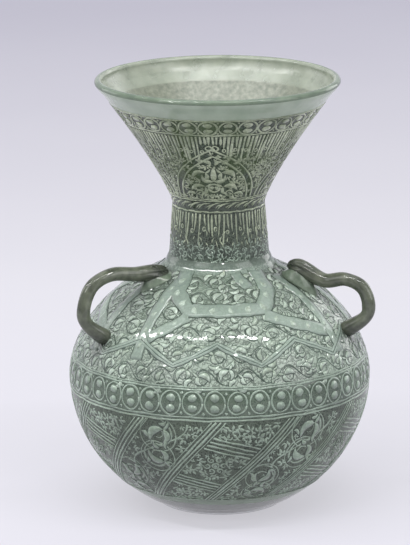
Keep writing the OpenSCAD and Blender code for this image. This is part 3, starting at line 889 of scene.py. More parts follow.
def lattice(low, high, step):
    """Loose rows of places on the skin, about a step apart."""
    places = []
    for row, arc in enumerate(np.arange(low, high, ROW_SHARE * step)):
        count = max(3, round(2 * math.pi * float(radius_at(arc)) / step))
        around = 360 * (np.arange(count) + 0.5 * (row % 2)) / count
        places += [(a, arc) for a in around]
    places = np.array(places)
    stray = rng.uniform(-LATTICE_STRAY, LATTICE_STRAY, places.shape) * step
    return places[:, 0] + np.degrees(stray[:, 0] / radius_at(places[:, 1])), places[:, 1] + stray[:, 1]


def room_around(around, arc, strokes):
    """Millimetres from each place to the nearest edge of any of the strokes."""
    lines = [np.concatenate(part) for part in zip(*strokes)]
    room = np.full(len(arc), FAR_MM)
    for first in range(0, len(arc), BATCH):
        part = slice(first, first + BATCH)
        apart = (around[part, None] - lines[0] + 180) % 360 - 180
        flat = np.hypot(np.radians(apart) * radius_at(arc[part])[:, None], arc[part, None] - lines[1])
        room[part] = np.min(flat - lines[2], axis=1)
    return room


def scatter(low, high, step, keep_clear, motif, least=0.45):
    """Fills a zone with a motif at every place that has room, smaller where room is short."""
    around, arc = lattice(low, high, step)
    room = room_around(around, arc, keep_clear)
    drawn = []
    for a, s, free in zip(around, arc, room):
        size = min(1.0, free / (MOTIF_REACH * step))
        if size > least:
            drawn += wrap(motif, a, s, rng.uniform(0, 360), size, rng.random() < 0.5)
    return drawn


print("a place on a lattice strays by up to", LATTICE_STRAY, "of a step")

# %% [markdown]
# ## The mouth
# Under its chain the mouth has upright reeds, a comb of long and short strokes, and then four ogee
# arches that stand on a rope of slanting leaves. Each arch is two lines with a knot of two rings at
# its point and a palmette among split leaves inside. Half of an arch's leaves are listed, each with
# its place beside the middle, its height and its turn, and the other half mirrors them.

# %% Mouth and rope
ARCHES, ARCH_FIRST, ARCH_HALF, ARCH_TALL, ARCH_POWER = 4, -10.7, 42.0, 46.0, 1.9
ARCH_LINES, ARCH_LINE_HALF = (1.0, 0.86), 0.65
ARCH_LEAVES = ((split_leaf(11, 1.7), 9, 11, -20), (scroll(3.0, 1.5, 0.55), 15, 5, 0),
               (split_leaf(8, 1.2), 20, 4, -10), (split_leaf(11, 1.9), 7, 24, -28),
               (leaf(7, 1.4, 0.25), 1.5, 31, 28))
KNOT = pair(ring_line(2.1, 2.1, 0.5, 14), -2.3)
ARCH_HEART = ring_line(3.8, 3.4, 0.6) + pair(bead(1.4), -1.6)
REEDS, REED_LONG, REED_SHORT, REED_LEAN = 144, 24.0, 12.0, 0.5
REED_HALF = 0.78 * np.array([1, 1, 1, 1, 0.9, 0.3])
KNOT_CLEAR, KNOT_REACH = 5, 8
ROPE_LEAVES, ROPE_SLANT = 30, 30
rope_low, rope_high = arc_at(ROPE_LOW), arc_at(ROPE_HIGH)
rope_middle = (rope_low + rope_high) / 2
arch_base = rope_high + 1.6
arch_top = arch_base + ARCH_TALL
reed_top = chain_low - 1.4
arch_rise = np.linspace(0, 1, 26)

arch_lines, arch_leaves = [], []
for k in range(ARCHES):
    centre = ARCH_FIRST + 360 / ARCHES * k
    for share in ARCH_LINES:
        for sign in (-1, 1):
            around = centre + sign * share * ARCH_HALF * (1 - arch_rise ** ARCH_POWER)
            arc = arch_base + share * ARCH_TALL * arch_rise
            arch_lines.append((around, arc, np.full(len(arc), ARCH_LINE_HALF)))
    arch_lines += wrap(KNOT, centre, arch_top + 1.5)
    arch_leaves += wrap(palmette(13, 2.2), centre, arch_base + 16)
    arch_leaves += wrap(ARCH_HEART, centre, arch_base + 10)
    for sign in (1, -1):
        for motif, beside, up, turn in ARCH_LEAVES:
            arch_leaves += wrap(motif, centre + sign * beside, arch_base + up, turn * sign, 1.0, sign < 0)

reeds = []
for k in range(REEDS):
    short = k % 3 == 2
    long = (REED_SHORT if short else REED_LONG) * rng.uniform(0.8, 1.1)
    around = 360 * k / REEDS
    beside = abs((around - ARCH_FIRST + 180 / ARCHES) % (360 / ARCHES) - 180 / ARCHES)
    reed_foot = max(reed_top - long, arch_top + KNOT_CLEAR if beside < KNOT_REACH else 0)
    lean = np.linspace(0, rng.uniform(-REED_LEAN, REED_LEAN), len(REED_HALF))
    reeds.append((around + lean, np.linspace(reed_top, reed_foot, len(REED_HALF)), REED_HALF))
    if short:
        reeds += wrap(ring_line(1.1, 1.5, 0.4, 10), around, reed_top - long - 2.5)
filler = turned(palmette(3.4, 0.8), 0, -1.1j) + turned(leaf(1.8, 0.45, 0.2), -90, -1.1j)
spandrels = scatter(arch_base + 2, reed_top - 8, 3.9, arch_lines + arch_leaves + reeds, filler)

rope = hoop(rope_low, 0.5) + hoop(rope_high, 0.45) + hoop(rope_high + 1.4, 0.3)
for k in range(ROPE_LEAVES):
    around = 360 / ROPE_LEAVES * k
    rope += wrap(turned(leaf(10.5, 0.66, 0.16), 0, -5.2), around, rope_middle, ROPE_SLANT)
    rope += wrap(turned(leaf(6.0, 0.4, 0.1), 0, -3.0), around + 180 / ROPE_LEAVES, rope_middle, ROPE_SLANT)
mouth_chain = chain(chain_low, chain_high, MOUTH_LOOPS, -1.0, 0.29, 1.6)
lay("mouth_lines", mouth_chain + arch_lines + arch_leaves + reeds + spandrels + rope, LINE_LIFT, pale_line)

# %% [markdown]
# ## The neck
# The neck is the darkest stretch: a deep wash with close upright strokes, long at the top and broken
# into leaves lower down. They are set out as a comb again, and the wash shows between them. Greyer
# sprigs run on over the neck's foot, where the wash thins out. They have a chance of their own, so
# that more or fewer of them leave every other band as it is.

# %% Neck
NECK_REEDS, NECK_LONG, NECK_SWAY = 72, (19.0, 10.0, 14.0), 2.2
NECK_HALF = 0.62 * np.array([0.8, 1, 1, 0.9, 0.9, 0.8, 0.7, 0.5, 0.2])
LOW_LEAVES, LOW_ROW_MM = 34, 3.6
SPRIGS, SPRIG_ROW_MM, SPRIG_LOW = 44, 2.7, 176.5
comb_low, comb_high = arc_at(PLAIN_NECK_TOP) + 1.0, rope_low - 1.5
fall = np.linspace(0, 1, len(NECK_HALF))
neck_strokes = []
for k in range(NECK_REEDS):
    around = 360 * k / NECK_REEDS + rng.uniform(-0.8, 0.8)
    long = NECK_LONG[k % 3] * rng.uniform(0.75, 1.15)
    sway = rng.uniform(-NECK_SWAY, NECK_SWAY) * fall ** 2
    neck_strokes.append((around + sway, np.linspace(comb_high, comb_high - long, len(fall)), NECK_HALF))
    if k % 3 == 1:
        neck_strokes += wrap(ring_line(0.9, 1.3, 0.4, 10), around, comb_high - long - 2.2)
for row, arc in enumerate(np.arange(comb_low + 1.5, comb_high - 13, LOW_ROW_MM)):
    for k in range(LOW_LEAVES):
        around = 360 * (k + 0.5 * (row % 2)) / LOW_LEAVES + rng.uniform(-2.5, 2.5)
        small = leaf(rng.uniform(2, 5), rng.uniform(0.25, 0.55), rng.uniform(-0.2, 0.2))
        neck_strokes += wrap(small, around, arc + rng.uniform(-1, 1), rng.uniform(50, 130))
lay("neck_lines", neck_strokes, LINE_LIFT, pale_line)

sprig_hand = np.random.default_rng(5)
sprigs = []
for row, arc in enumerate(np.arange(arc_at(SPRIG_LOW), comb_low + 4, SPRIG_ROW_MM)):
    for k in range(SPRIGS):
        around = 360 * (k + 0.5 * (row % 2)) / SPRIGS + sprig_hand.uniform(-3, 3)
        sprig = split_leaf(sprig_hand.uniform(2.4, 4.6), sprig_hand.uniform(0.4, 0.7))
        sprigs += wrap(sprig, around, arc + sprig_hand.uniform(-0.8, 0.8), sprig_hand.uniform(0, 360))
lay("neck_foot_lines", sprigs, LEAF_LIFT, band_line)

# %% [markdown]
# ## The shoulder
# Broad pale straps cross the shoulder in three like groups, one between each two handles: a flat
# bottomed strap that hangs from the neck, an upright on each side of it, slanting ones that join
# them, and a zigzag above the chain. They are bare glass, left free of the wash and edged with a
# dark line. Each strap is listed by its corners, in degrees from its group's middle and millimetres
# up the skin. The straps lie over what fills the fields, so nothing has to be trimmed.

# %% Straps
strap_base = arc_at(105.0)
strap_end = arc_at(STRAP_TOP)
STRAP_GROUPS, STRAP_FIRST, STRAP_STEP_MM = 3, -2.6, 2.5
STRAP_HALF, SIDE_HALF, JOIN_HALF, ZIGZAG_HALF = 5.4, 4.0, 4.6, 1.9
STRAPS = ((((-38, 96), (-33, 75), (-21.5, 60), (21.5, 60), (32, 75), (36, 96)), STRAP_HALF),
          (((-40, 18), (-40, 88)), SIDE_HALF), (((54, 16), (54, 88)), SIDE_HALF),
          (((21, 54), (52, 33)), JOIN_HALF), (((-21, 54), (-38, 34)), SIDE_HALF),
          (((13, 96), (19, 80)), SIDE_HALF))
ZIGZAGS, ZIGZAG_FIRST, ZIGZAG_HIGH, ZIGZAG_LOW, ZIGZAG_LINE = 10, -43.5, 33, 17, 0.25
EDGE_MM, ZIGZAG_EDGE, STRAP_EDGE = 0.45, 0.35, 0.6


def strap(corners, half):
    """A broad stroke through corners, with the small wavering of a hand."""
    around, arc = along_line([(a, strap_base + s) for a, s in corners], STRAP_STEP_MM)
    waver = ripple(np.arange(len(arc)), ((0.05, 0.9, corners[0][0]), (0.04, 2.3, 0)))
    return around, arc, half * (1 + waver)


def edged(strokes, edge=EDGE_MM):
    """The same strokes, a little broader, to lie under them as a dark edge."""
    return [(around, arc, half + edge) for around, arc, half in strokes]


straps = []
for k in range(STRAP_GROUPS):
    centre = STRAP_FIRST + 360 / STRAP_GROUPS * k
    straps += [strap([(centre + a, s) for a, s in corners], half) for corners, half in STRAPS]
zigzag_corners = [(180 / ZIGZAGS * k + ZIGZAG_FIRST, ZIGZAG_HIGH if k % 2 == 0 else ZIGZAG_LOW)
                  for k in range(2 * ZIGZAGS + 1)]
zigzag = [strap(zigzag_corners, ZIGZAG_HALF)]
zigzag_line = [(a, s, np.full(len(s), ZIGZAG_LINE)) for a, s, _ in zigzag]
marks = []
for around, arc, half in straps:
    for at in range(4, len(arc) - 3, 5):
        mark = turned(leaf(1.2 * half[at], 0.36 * half[at], 0.15), 0, -0.6 * half[at])
        marks += wrap(mark, around[at], arc[at], 70 + 40 * (at % 2))
print("straps:", len(straps), "marks on them:", len(marks))

# %% [markdown]
# ## Running scrolls
# Rows of scrolls fill the fields behind the straps: a dark stem waves along each row, and rolls up
# above and below round pale split leaves, with smaller leaves in between. Every leaf has a dark edge
# under it, as the painter outlined it. Small and large leaves are layers of their own, so that where
# two overlap, one lies plainly over the other.

# %% Shoulder
SCROLL_ROWS, SCROLL_MM, ROW_TURN = 6, 15.0, 7
SCROLL_REACH, STEM_WAVE, STEM_HALF, VINE_HALF = 0.40, 0.36, 0.42, 0.45
vines, leaves, large_leaves = [], [], []


def running_scroll(low, high, first):
    """A row of scrolls on a waving stem, right round the lamp, each rolled round a leaf."""
    middle, tall = (low + high) / 2, high - low
    count = 2 * round(math.pi * float(radius_at(middle)) / SCROLL_MM)
    reach = SCROLL_REACH * min(tall, SCROLL_MM)
    around = np.linspace(0, 360, 8 * count + 1)
    stem = middle + STEM_WAVE * tall * np.sin(np.radians(around) * count / 2)
    vines.append((around + first, stem, np.full(len(stem), STEM_HALF)))
    rolled = scroll(reach, 1.5, VINE_HALF, 22)
    large = turned(split_leaf(1.45 * reach, 0.3 * reach), 0, -0.65 * reach)
    for k in range(count):
        sign = 1 if k % 2 == 0 else -1
        spot = first + 360 * (k + 0.5) / count
        arc = middle - sign * 0.08 * tall
        tilt = rng.uniform(-30, 30)
        size = rng.uniform(0.85, 1.15)
        vines.extend(wrap(rolled, spot, arc, 60 + tilt, size, sign < 0))
        large_leaves.extend(wrap(large, spot, arc, 30 + tilt * 2, size, sign < 0))
        for length, beside, up, turn in ((1.3, 0, -0.95, -150), (1.2, 180 / count, 0.6, 40)):
            small = leaf(length * reach, 0.26 * reach, 0.3)
            leaves.extend(wrap(small, spot + beside, arc + sign * up * reach, turn + tilt, 1.0, sign < 0))


row_tall = (strap_end - strap_base - 3) / SCROLL_ROWS
for row in range(SCROLL_ROWS):
    low = strap_base + 2.5 + row * row_tall
    running_scroll(low, low + row_tall, ROW_TURN * row)
lay("shoulder_vines", vines, VINE_LIFT, dark_line)
lay("shoulder_leaf_edges", edged(leaves), EDGE_LIFT, dark_line)
lay("shoulder_leaves", leaves, LEAF_LIFT, pale_line)
lay("large_leaf_edges", edged(large_leaves), LEAF_LIFT + LAYER, dark_line)
lay("large_leaves", large_leaves, LEAF_LIFT + 2 * LAYER, pale_line)
lay("strap_edges", edged(zigzag, ZIGZAG_EDGE) + edged(straps, STRAP_EDGE), STRAP_LIFT, dark_line, 4)
lay("straps", zigzag + straps, STRAP_LIFT + LAYER, strap_glass, 4)
lay("strap_marks", marks, STRAP_LIFT + 2 * LAYER, pale_line)
lay("strap_lines", zigzag_line, STRAP_LIFT + 3 * LAYER, dark_line)

# %% [markdown]
# ## The bowl
# Below the chain, slanting double lines cut the bowl into twelve leaning panels. Every other one
# holds a vine with large split leaves in rings. The rest hold two bundles of lines across them and a
# rosette of scrolls in between. A panel has places of its own, across and down, and leans as it goes
# down, so what is drawn in one fits them all. Small palmettes fill what is left.

# %% Bowl
PANELS, PANEL_FIRST, PANEL_LEAN = 12, -7.0, 35.0
DIVIDERS = ((-0.03, 0.6), (0.03, 0.6), (0.09, 0.35), (-0.09, 0.35))
VINE_POINTS, VINE_WAVES, VINE_WAVE, VINE_STEM = 60, 1.5, 0.2, 0.6
RING_DOWN, RING_SIDE, FULL_SIZE_R = (0.15, 0.40, 0.64, 0.87), 0.12, 100
RING_SCROLL, RING = scroll(11.5, 1.6, 0.75, 40), ring_line(13.0, 13.0, 0.4, 40)
RING_LEAF, RING_SPRAY = turned(split_leaf(14, 2.6), 0, -6.0), turned(leaf(6, 1.3), 60, 8.0)
BUNDLE_DOWN, BUNDLE_LINES, BUNDLE_STEP, BUNDLE_FALL, BUNDLE_HALF = (0.16, 0.6), 4, 0.036, 0.13, 0.55
ROSETTE_DOWN, PETALS, PETAL = 0.47, 6, turned(scroll(2.6, 1.3, 0.6, 13), 0, 5.6)
ROSETTE_HEART = ring_line(2.2, 2.2, 0.55) + bead(1.1)
LARGE_EDGE, LARGE_LAYER = 0.6, 0.06
panel_top, panel_low = band_low - 3.4, arc_at(PLAIN_EDGE) + 2.2
panel_tall = panel_top - panel_low


def panel_place(k, across, down):
    """A place in a leaning panel: across and down both go from 0 to 1."""
    arc = panel_top - panel_tall * np.asarray(down, float)
    turn = 360 / PANELS * (k + np.asarray(across, float))
    return PANEL_FIRST + turn - PANEL_LEAN * np.asarray(down, float), arc


def panel_line(k, start, stop, half, count=24):
    """A straight line in a panel, from one place to another."""
    share = np.linspace(0, 1, count)
    across = start[0] + (stop[0] - start[0]) * share
    around, arc = panel_place(k, across, start[1] + (stop[1] - start[1]) * share)
    return around, arc, np.full(count, half)


dividers, stems, panel_leaves, bundles = [], [], [], []
for k in range(PANELS):
    dividers += [panel_line(k, (across, 0), (across, 1), half) for across, half in DIVIDERS]
    if k % 2 == 1:
        down = np.linspace(0.03, 0.97, VINE_POINTS)
        wave = 0.5 + VINE_WAVE * np.sin(2 * math.pi * VINE_WAVES * down + 0.5)
        stems.append((*panel_place(k, wave, down), np.full(VINE_POINTS, VINE_STEM)))
        for i, at in enumerate(RING_DOWN):
            sign = 1 if i % 2 else -1
            spot = [float(x) for x in panel_place(k, 0.5 + RING_SIDE * sign, at)]
            size = float(radius_at(spot[1])) / FULL_SIZE_R
            stems += wrap(RING_SCROLL, *spot, 90 * sign, size, sign < 0)
            stems += wrap(RING, *spot, 0, size)
            panel_leaves += wrap(RING_LEAF, *spot, 40 + 100 * i, size, sign < 0)
            for spin in (20, 140, 260):
                panel_leaves += wrap(RING_SPRAY, *spot, spin + 50 * i, size, sign < 0)
    else:
        for start in BUNDLE_DOWN:
            for at in start + BUNDLE_STEP * np.arange(BUNDLE_LINES):
                bundles.append(panel_line(k, (0.12, at), (0.88, at + BUNDLE_FALL), BUNDLE_HALF, 16))
        spot = [float(x) for x in panel_place(k, 0.5, ROSETTE_DOWN)]
        for i in range(PETALS):
            bundles += wrap(PETAL, *spot, 360 / PETALS * i)
        bundles += wrap(ROSETTE_HEART, *spot)
ends = hoop(panel_low - 0.8, 0.5) + hoop(panel_top + 0.9, 0.4)
bowl_filler = turned(palmette(4.6, 1.0), 0, -1.5j) + turned(leaf(2.6, 0.5, 0.3), -90, -1.5j)
drawn_in_bowl = dividers + stems + panel_leaves + bundles
bowl_fill = scatter(panel_low + 2, panel_top - 2, 5.8, drawn_in_bowl, bowl_filler, 0.4)
lay("bowl_stems", stems + bowl_fill, EDGE_LIFT, pale_line)
lay("bowl_leaf_edges", edged(panel_leaves, LARGE_EDGE), LEAF_LIFT, dark_line)
lay("bowl_leaves", panel_leaves, LEAF_LIFT + LARGE_LAYER, pale_line, 2)
lay("bowl_lines", dividers + ends + bundles, LINE_LIFT, pale_line)

# %% [markdown]
# ## Handles
# Each handle is a trail of hot glass: dropped on the shoulder, pressed into a tongue, drawn out,
# bent round and stuck back on the globe. A tube along a curve would look machined, so each is built
# of rings along the solid's own path, with folds where the tool pressed the tongue and a thickness
# that wanders a little. The ends reach into the wall and no farther.

# %% Handle helpers
TIP_OUT, TIP_LIFT = (5.4, 13.9, 10.4), (0.0, 6.0, 3.0)
ARM_DIP, BEND_R = (-1.0, 8.5, 3.0), (22.0, 17.0, 20.0)
REACH, ARM_RUN, HEAD_RUN, ARM_CREST, ROOT_UP, LOWER_BOW = 3.5, 27.0, 9.0, 2.0, 36.0, 8.0
TRAIL_D, TONGUE_D, TIP_D, ROOT_D = 9.4, 11.4, 3.2, 13.0
TONGUE_SPREAD, ROOT_SPREAD, SINK, BURY = 1.3, 1.1, 7.0, 1.8
SIDES, SPAN, LOFT_SHARP = 40, 9, 80


def skin_height(radius):
    """Height of the shoulder or of the neck's foot at a distance from the axis."""
    upper = (skin_z > GLOBE_MID) & (skin_z < WAIST_Z)
    return float(np.interp(-radius, -skin_r[upper], skin_z[upper]))


def trail_path(i):
    """Middle line of a handle: distance from the axis, height, thickness and width over thickness."""
    tip_r = NECK_R + TIP_OUT[i]
    tip_z = skin_height(tip_r) + TIP_LIFT[i]
    dip_z = tip_z - ARM_DIP[i]
    out_r = GLOBE_R + REACH
    centre_r, centre_z = out_r - BEND_R[i], dip_z + ARM_CREST - BEND_R[i]
    root_z = GLOBE_MID + ROOT_UP
    root_r = float(globe_radius(root_z)) - SINK
    slant = BEND_R[i] * math.sqrt(0.5)
    points = np.array([(tip_r, tip_z, TIP_D, TONGUE_SPREAD),
                       (tip_r + HEAD_RUN, tip_z, TONGUE_D, TONGUE_SPREAD),
                       (tip_r + ARM_RUN, dip_z, (TONGUE_D + TRAIL_D) / 2, 1),
                       (centre_r, centre_z + BEND_R[i], TRAIL_D, 1),
                       (centre_r + slant, centre_z + slant, TRAIL_D, 1),
                       (out_r, centre_z, TRAIL_D, 1),
                       ((out_r + root_r) / 2 + LOWER_BOW, (centre_z + root_z) / 2, TRAIL_D, 1),
                       (root_r + 1, root_z - 2, ROOT_D, ROOT_SPREAD)])
    padded = np.concatenate([points[:1], points, points[-1:]])
    path = []
    for a, b, c, d in zip(padded, padded[1:], padded[2:], padded[3:]):
        for t in np.arange(SPAN) / SPAN:
            bent = (2 * a - 5 * b + 4 * c - d) * t ** 2 + (3 * b - a - 3 * c + d) * t ** 3
            path.append((2 * b + (c - a) * t + bent) / 2)
    return np.array(path + [points[-1]])


def lofted(name, rings):
    """A closed skin over rows of points: a grid rolled up, with its seam and its ends merged."""
    bm = bmesh.new()
    bmesh.ops.create_grid(bm, x_segments=rings.shape[1] - 1, y_segments=rings.shape[0] - 1, size=0.5)
    mesh = bpy.data.meshes.new(name)
    bm.to_mesh(mesh)
    write_points(mesh, rings.reshape(-1, 3) * MM)
    bm.clear()
    bm.from_mesh(mesh)
    bmesh.ops.remove_doubles(bm, verts=bm.verts, dist=MERGE_M)
    bmesh.ops.recalc_face_normals(bm, faces=bm.faces)
    bpy.data.meshes.remove(mesh)
    return as_object(name, bm, LOFT_SHARP)


def set_on_wall(made, i):
    """Turns a piece from +X to its handle's plane, and draws what lies deep in the wall back out."""
    made.data.transform(Matrix.Rotation(math.radians(HANDLE_ANGLES[i] - 90), 4, "Z"))
    points = read_points(made.data)
    height = points[:, 2] / MM
    reach = np.hypot(points[:, 0], points[:, 1]) / MM
    lean = np.interp(height, skin_z, slope_z)
    deep = np.maximum((np.interp(height, skin_z, skin_r) - reach) * lean - BURY, 0)
    outward = np.stack([points[:, 0] / reach * lean, points[:, 1] / reach * lean,
                        -np.interp(height, skin_z, slope_r) * MM], -1)
    write_points(made.data, points + outward * deep[:, None])


print("handles at", HANDLE_ANGLES, "degrees from the front")

# %% Handles
HANDLES = ("left", "right", "back")
CAPS = np.array([0.0, 0.45, 0.75, 0.93])
FOLDS, FOLD_WIDE, FOLD_DEEP = (0.6, 1.35, 2 * math.pi - 0.6, 2 * math.pi - 1.35), 0.2, 0.34
PRESS_ROW, PRESS_ROWS = 7, 6.0
turn = np.linspace(0, 2 * math.pi, SIDES + 1)
creases = sum(np.exp(-((turn - at) / FOLD_WIDE) ** 2) for at in FOLDS)
paths = [trail_path(i) for i in range(len(HANDLES))]
for i, word in enumerate(HANDLES):
    path = paths[i]
    along = np.gradient(path[:, :2], axis=0)
    along /= np.linalg.norm(along, axis=1)[:, None]
    half = path[:, 2] / 2
    half[:len(CAPS)] *= CAPS
    half[-len(CAPS):] *= CAPS[::-1]
    row = np.arange(len(path))[:, None]
    fold = FOLD_DEEP * np.exp(-((row - PRESS_ROW) / PRESS_ROWS) ** 2) * creases
    wander = 1 + 0.015 * np.sin(row * 0.55 + i) + 0.02 * np.sin(3 * turn + row * 0.35) - fold
    over = half[:, None] * wander * np.cos(turn)
    across = half[:, None] * path[:, 3:4] * wander * np.sin(turn)
    rings = np.stack([path[:, 0:1] - along[:, 1:2] * over, across, path[:, 1:2] + along[:, 0:1] * over], -1)
    handle = lofted("trailed_handle_" + word, rings)
    handle.data.materials.append(trail_glass)
    set_on_wall(handle, i)
    paint_joint_shade(handle)
    dress(handle, "lamp", "trail_glass", "handle_" + word)

# %% [markdown]
# ## Seats
# Under each tongue lies a pad of glass, pressed between the arm and the shoulder while both were
# soft. It fills the wedge between them, so its rows run from the tip outwards: each goes from the
# skin up to the arm, and is rounder than a box and fuller than an ellipse, and wider at its foot.

# %% Seats
SEAT_WIDE, SEAT_START, SEAT_SHARE, SEAT_SUNK, SEAT_LEAST = 19.0, 4, 0.85, 1.4, 1.2
SEAT_ROUND, SEAT_SPLAY = 0.6, 0.3
share = np.linspace(0, 1, 30)
half_wide = SEAT_WIDE / 2 * np.sin(math.pi * share ** 0.85) ** 0.8
rise = np.sin(math.pi * share) ** 0.5
flank = np.sign(np.sin(turn)) * np.abs(np.sin(turn)) ** SEAT_ROUND
crown = np.sign(np.cos(turn)) * np.abs(np.cos(turn)) ** SEAT_ROUND
for i, word in enumerate(HANDLES):
    arm = paths[i][:5 * SPAN]
    seat_r = arm[0, 0] - SEAT_START + (SEAT_SHARE * ARM_RUN + SEAT_START) * share
    seat_top = np.interp(seat_r, arm[:, 0], arm[:, 1])
    seat_low = np.array([skin_height(r) for r in seat_r]) - SEAT_SUNK
    half_tall = np.maximum((seat_top - seat_low) / 2, SEAT_LEAST)
    out = np.broadcast_to(seat_r[:, None], (len(share), len(turn)))
    wide = half_wide[:, None] * flank * (1 - SEAT_SPLAY * crown)
    tall = seat_low[:, None] + (half_tall * rise)[:, None] * (1 + crown)
    seat = lofted("pressed_seat_" + word, np.stack([out, wide, tall], -1))
    seat.data.materials.append(pad_glass)
    set_on_wall(seat, i)
    dress(seat, "lamp", "trail_glass", "seat_" + word)

# %% [markdown]
# ## What the fittings are made of
# The light came from a loose glass cup of oil with a cork float, which held a brass tube and a cotton
# wick. Cork, brass and cotton are all plain bodies with a grain, so one recipe serves them: a noise
# in the size of the grain, pulled out where the material was drawn, mixes two tints and raises the
# surface a little.

# %% Fitting materials
GRAIN_RISE = 0.3 * MM


def grained(name, dark, light, grain_mm, rough, metal=0.0, stretch=(1, 1, 1), bump=0.2):
    """A plain body material: two tints mixed by a grain, with a bump from the same grain."""
    material, tree, place = new_material(name)
    pulled = add(tree, "ShaderNodeMapping", {"Vector": place, "Scale": stretch})
    grain = add(tree, "ShaderNodeTexNoise",
                {"Vector": pulled.outputs[0], "Scale": per_mm(grain_mm), "Detail": 6.0})
    share = add(tree, "ShaderNodeMapRange",
                {"Value": grain.outputs["Fac"], "From Min": 0.35, "From Max": 0.65})
    tint = add(tree, "ShaderNodeMix",
               {MIX_FACTOR: share.outputs["Result"], MIX_A: linear(dark), MIX_B: linear(light)},
               data_type="RGBA")
    dull = add(tree, "ShaderNodeMapRange",
               {"Value": grain.outputs["Fac"], "To Min": 0.8 * rough, "To Max": 1.2 * rough})
    raised = add(tree, "ShaderNodeBump",
                 {"Height": grain.outputs["Fac"], "Strength": bump, "Distance": GRAIN_RISE})
    skin = add(tree, "ShaderNodeBsdfPrincipled",
               {"Base Color": tint.outputs[2], "Roughness": dull.outputs["Result"],
                "Metallic": metal, "Normal": raised.outputs["Normal"]})
    finish_material(tree, skin)
    return material


# Cork, cut with a knife: matt and crumbly, brown with pale grains.
cork = grained("cork_cut", "#6b4526", "#b98a5a", 1.6, 0.8, bump=0.6)
# Brass, drawn and dulled by use: a soft yellow shine with streaks along the tube.
brass = grained("brass_drawn_dull", "#7d6330", "#b9964d", 2.0, 0.35, 1.0, (1, 1, 0.1), 0.05)
# Cotton, plaited: no shine at all, cream with fine shadows between its fibres.
cotton = grained("cotton_plaited", "#cbbf9f", "#efe6cf", 0.5, 0.9, bump=0.5)
# Cotton, charred by the flame: black, with brown where it is only singed.
char = grained("cotton_charred", "#0f0d0b", "#3a3029", 0.6, 0.95, bump=0.6)
print("fittings:", [m.name for m in (cup_glass, cork, brass, cotton, char)])

# %% [markdown]
# ## Oil cup
# The cup is a small tumbler, blown thin, with a rounded lip and a foot a little narrower than its
# mouth. It stands on the floor of the globe and can be lifted out through the neck. Its outline goes
# up the outside, over the lip and down the inside, and is spun as the walls were.

# %% Oil cup
CUP_WALL, CUP_FLOOR, CUP_TAPER, CUP_EDGE, CUP_STEPS = 2.2, 3.5, 5.5, 1.2, 128
CUP_RISES, FLOOR_RISE = (0.2, 0.4, 0.6, 0.8), 0.07
cup_low, cup_high = size_of("oil_cup")
lip_z = cup_high.z - CUP_WALL / 2
lip_r = cup_high.x - CUP_WALL / 2
cup_foot = cup_high.x - CUP_TAPER
inner_foot = cup_foot - CUP_WALL + CUP_TAPER * FLOOR_RISE
floor_z = cup_low.z + CUP_FLOOR


def cup_side(share, inset=0.0):
    """A point on the cup's slanting side, at a share of its height."""
    return cup_foot - inset + CUP_TAPER * share, cup_low.z + (lip_z - cup_low.z) * share


cup_outline = [(0, cup_low.z)]
cup_outline += arc_points((cup_foot - CUP_EDGE, cup_low.z + CUP_EDGE), CUP_EDGE, -90, -5, 7)
cup_outline += [cup_side(share) for share in CUP_RISES]
cup_outline += arc_points((lip_r, lip_z), CUP_WALL / 2, 0, 180, 13)
cup_outline += [cup_side(share, CUP_WALL) for share in reversed(CUP_RISES)]
cup_outline += arc_points((inner_foot - CUP_EDGE, floor_z + CUP_EDGE), CUP_EDGE, 0, -90, 6)
cup_outline += [(0, floor_z)]
cup = spun("oil_cup_blown", cup_outline, CUP_STEPS)
cup.data.materials.append(cup_glass)
dress(cup, "cup", "cup_glass", "oil_cup")

# %% [markdown]
# ## Float and tube
# A disc of cork swims on the oil and keeps the flame above it, whatever the level. A brass tube with
# a collar goes through its middle. Both are turned shapes with their edges broken, so they are spun.
# The tube ends a tenth of a millimetre over the cup's floor, where the float comes to rest.

# %% Float and tube
TUBE_R, TUBE_WALL, TUBE_GAP, TUBE_STEPS = 3.2, 0.8, 0.1, 64
COLLAR_T, COLLAR_R, EASE = 1.2, 6.5, 0.25
CHAMFER, FLOAT_STEPS = 0.6, 96
float_low, float_high = size_of("wick_float")
disc_r = float_high.x
disc = [(TUBE_R, float_low.z), (disc_r - CHAMFER, float_low.z), (disc_r, float_low.z + CHAMFER),
        (disc_r, float_high.z - CHAMFER), (disc_r - CHAMFER, float_high.z), (TUBE_R, float_high.z)]
cork_float = spun("cork_float", disc + disc[:1], FLOAT_STEPS)
cork_float.data.materials.append(cork)
dress(cork_float, "float", "cork", "wick_float")

tube_low, tube_high = size_of("wick_tube")
bore = TUBE_R - TUBE_WALL
collar_z = float_high.z
collar_top = collar_z + COLLAR_T
tube_end, tube_top = tube_low.z + TUBE_GAP, tube_high.z
tube = [(bore, tube_end + EASE), (bore + EASE, tube_end), (TUBE_R - EASE, tube_end),
        (TUBE_R, tube_end + EASE), (TUBE_R, collar_z), (COLLAR_R - EASE, collar_z),
        (COLLAR_R, collar_z + EASE), (COLLAR_R, collar_top - EASE), (COLLAR_R - EASE, collar_top),
        (TUBE_R, collar_top), (TUBE_R, tube_top - EASE), (TUBE_R - EASE, tube_top),
        (bore + EASE, tube_top), (bore, tube_top - EASE)]
wick_tube = spun("brass_tube", tube + tube[:1], TUBE_STEPS)
wick_tube.data.materials.append(brass)
dress(wick_tube, "float", "brass", "wick_tube")

# %% [markdown]
# ## Wick
# The wick is three strands of cotton twisted together, burnt black and thin at the top. Three tubes
# could be wound round each other, but at this size one skin with three lobes that turn as they rise
# looks the same, and has no hidden faces.

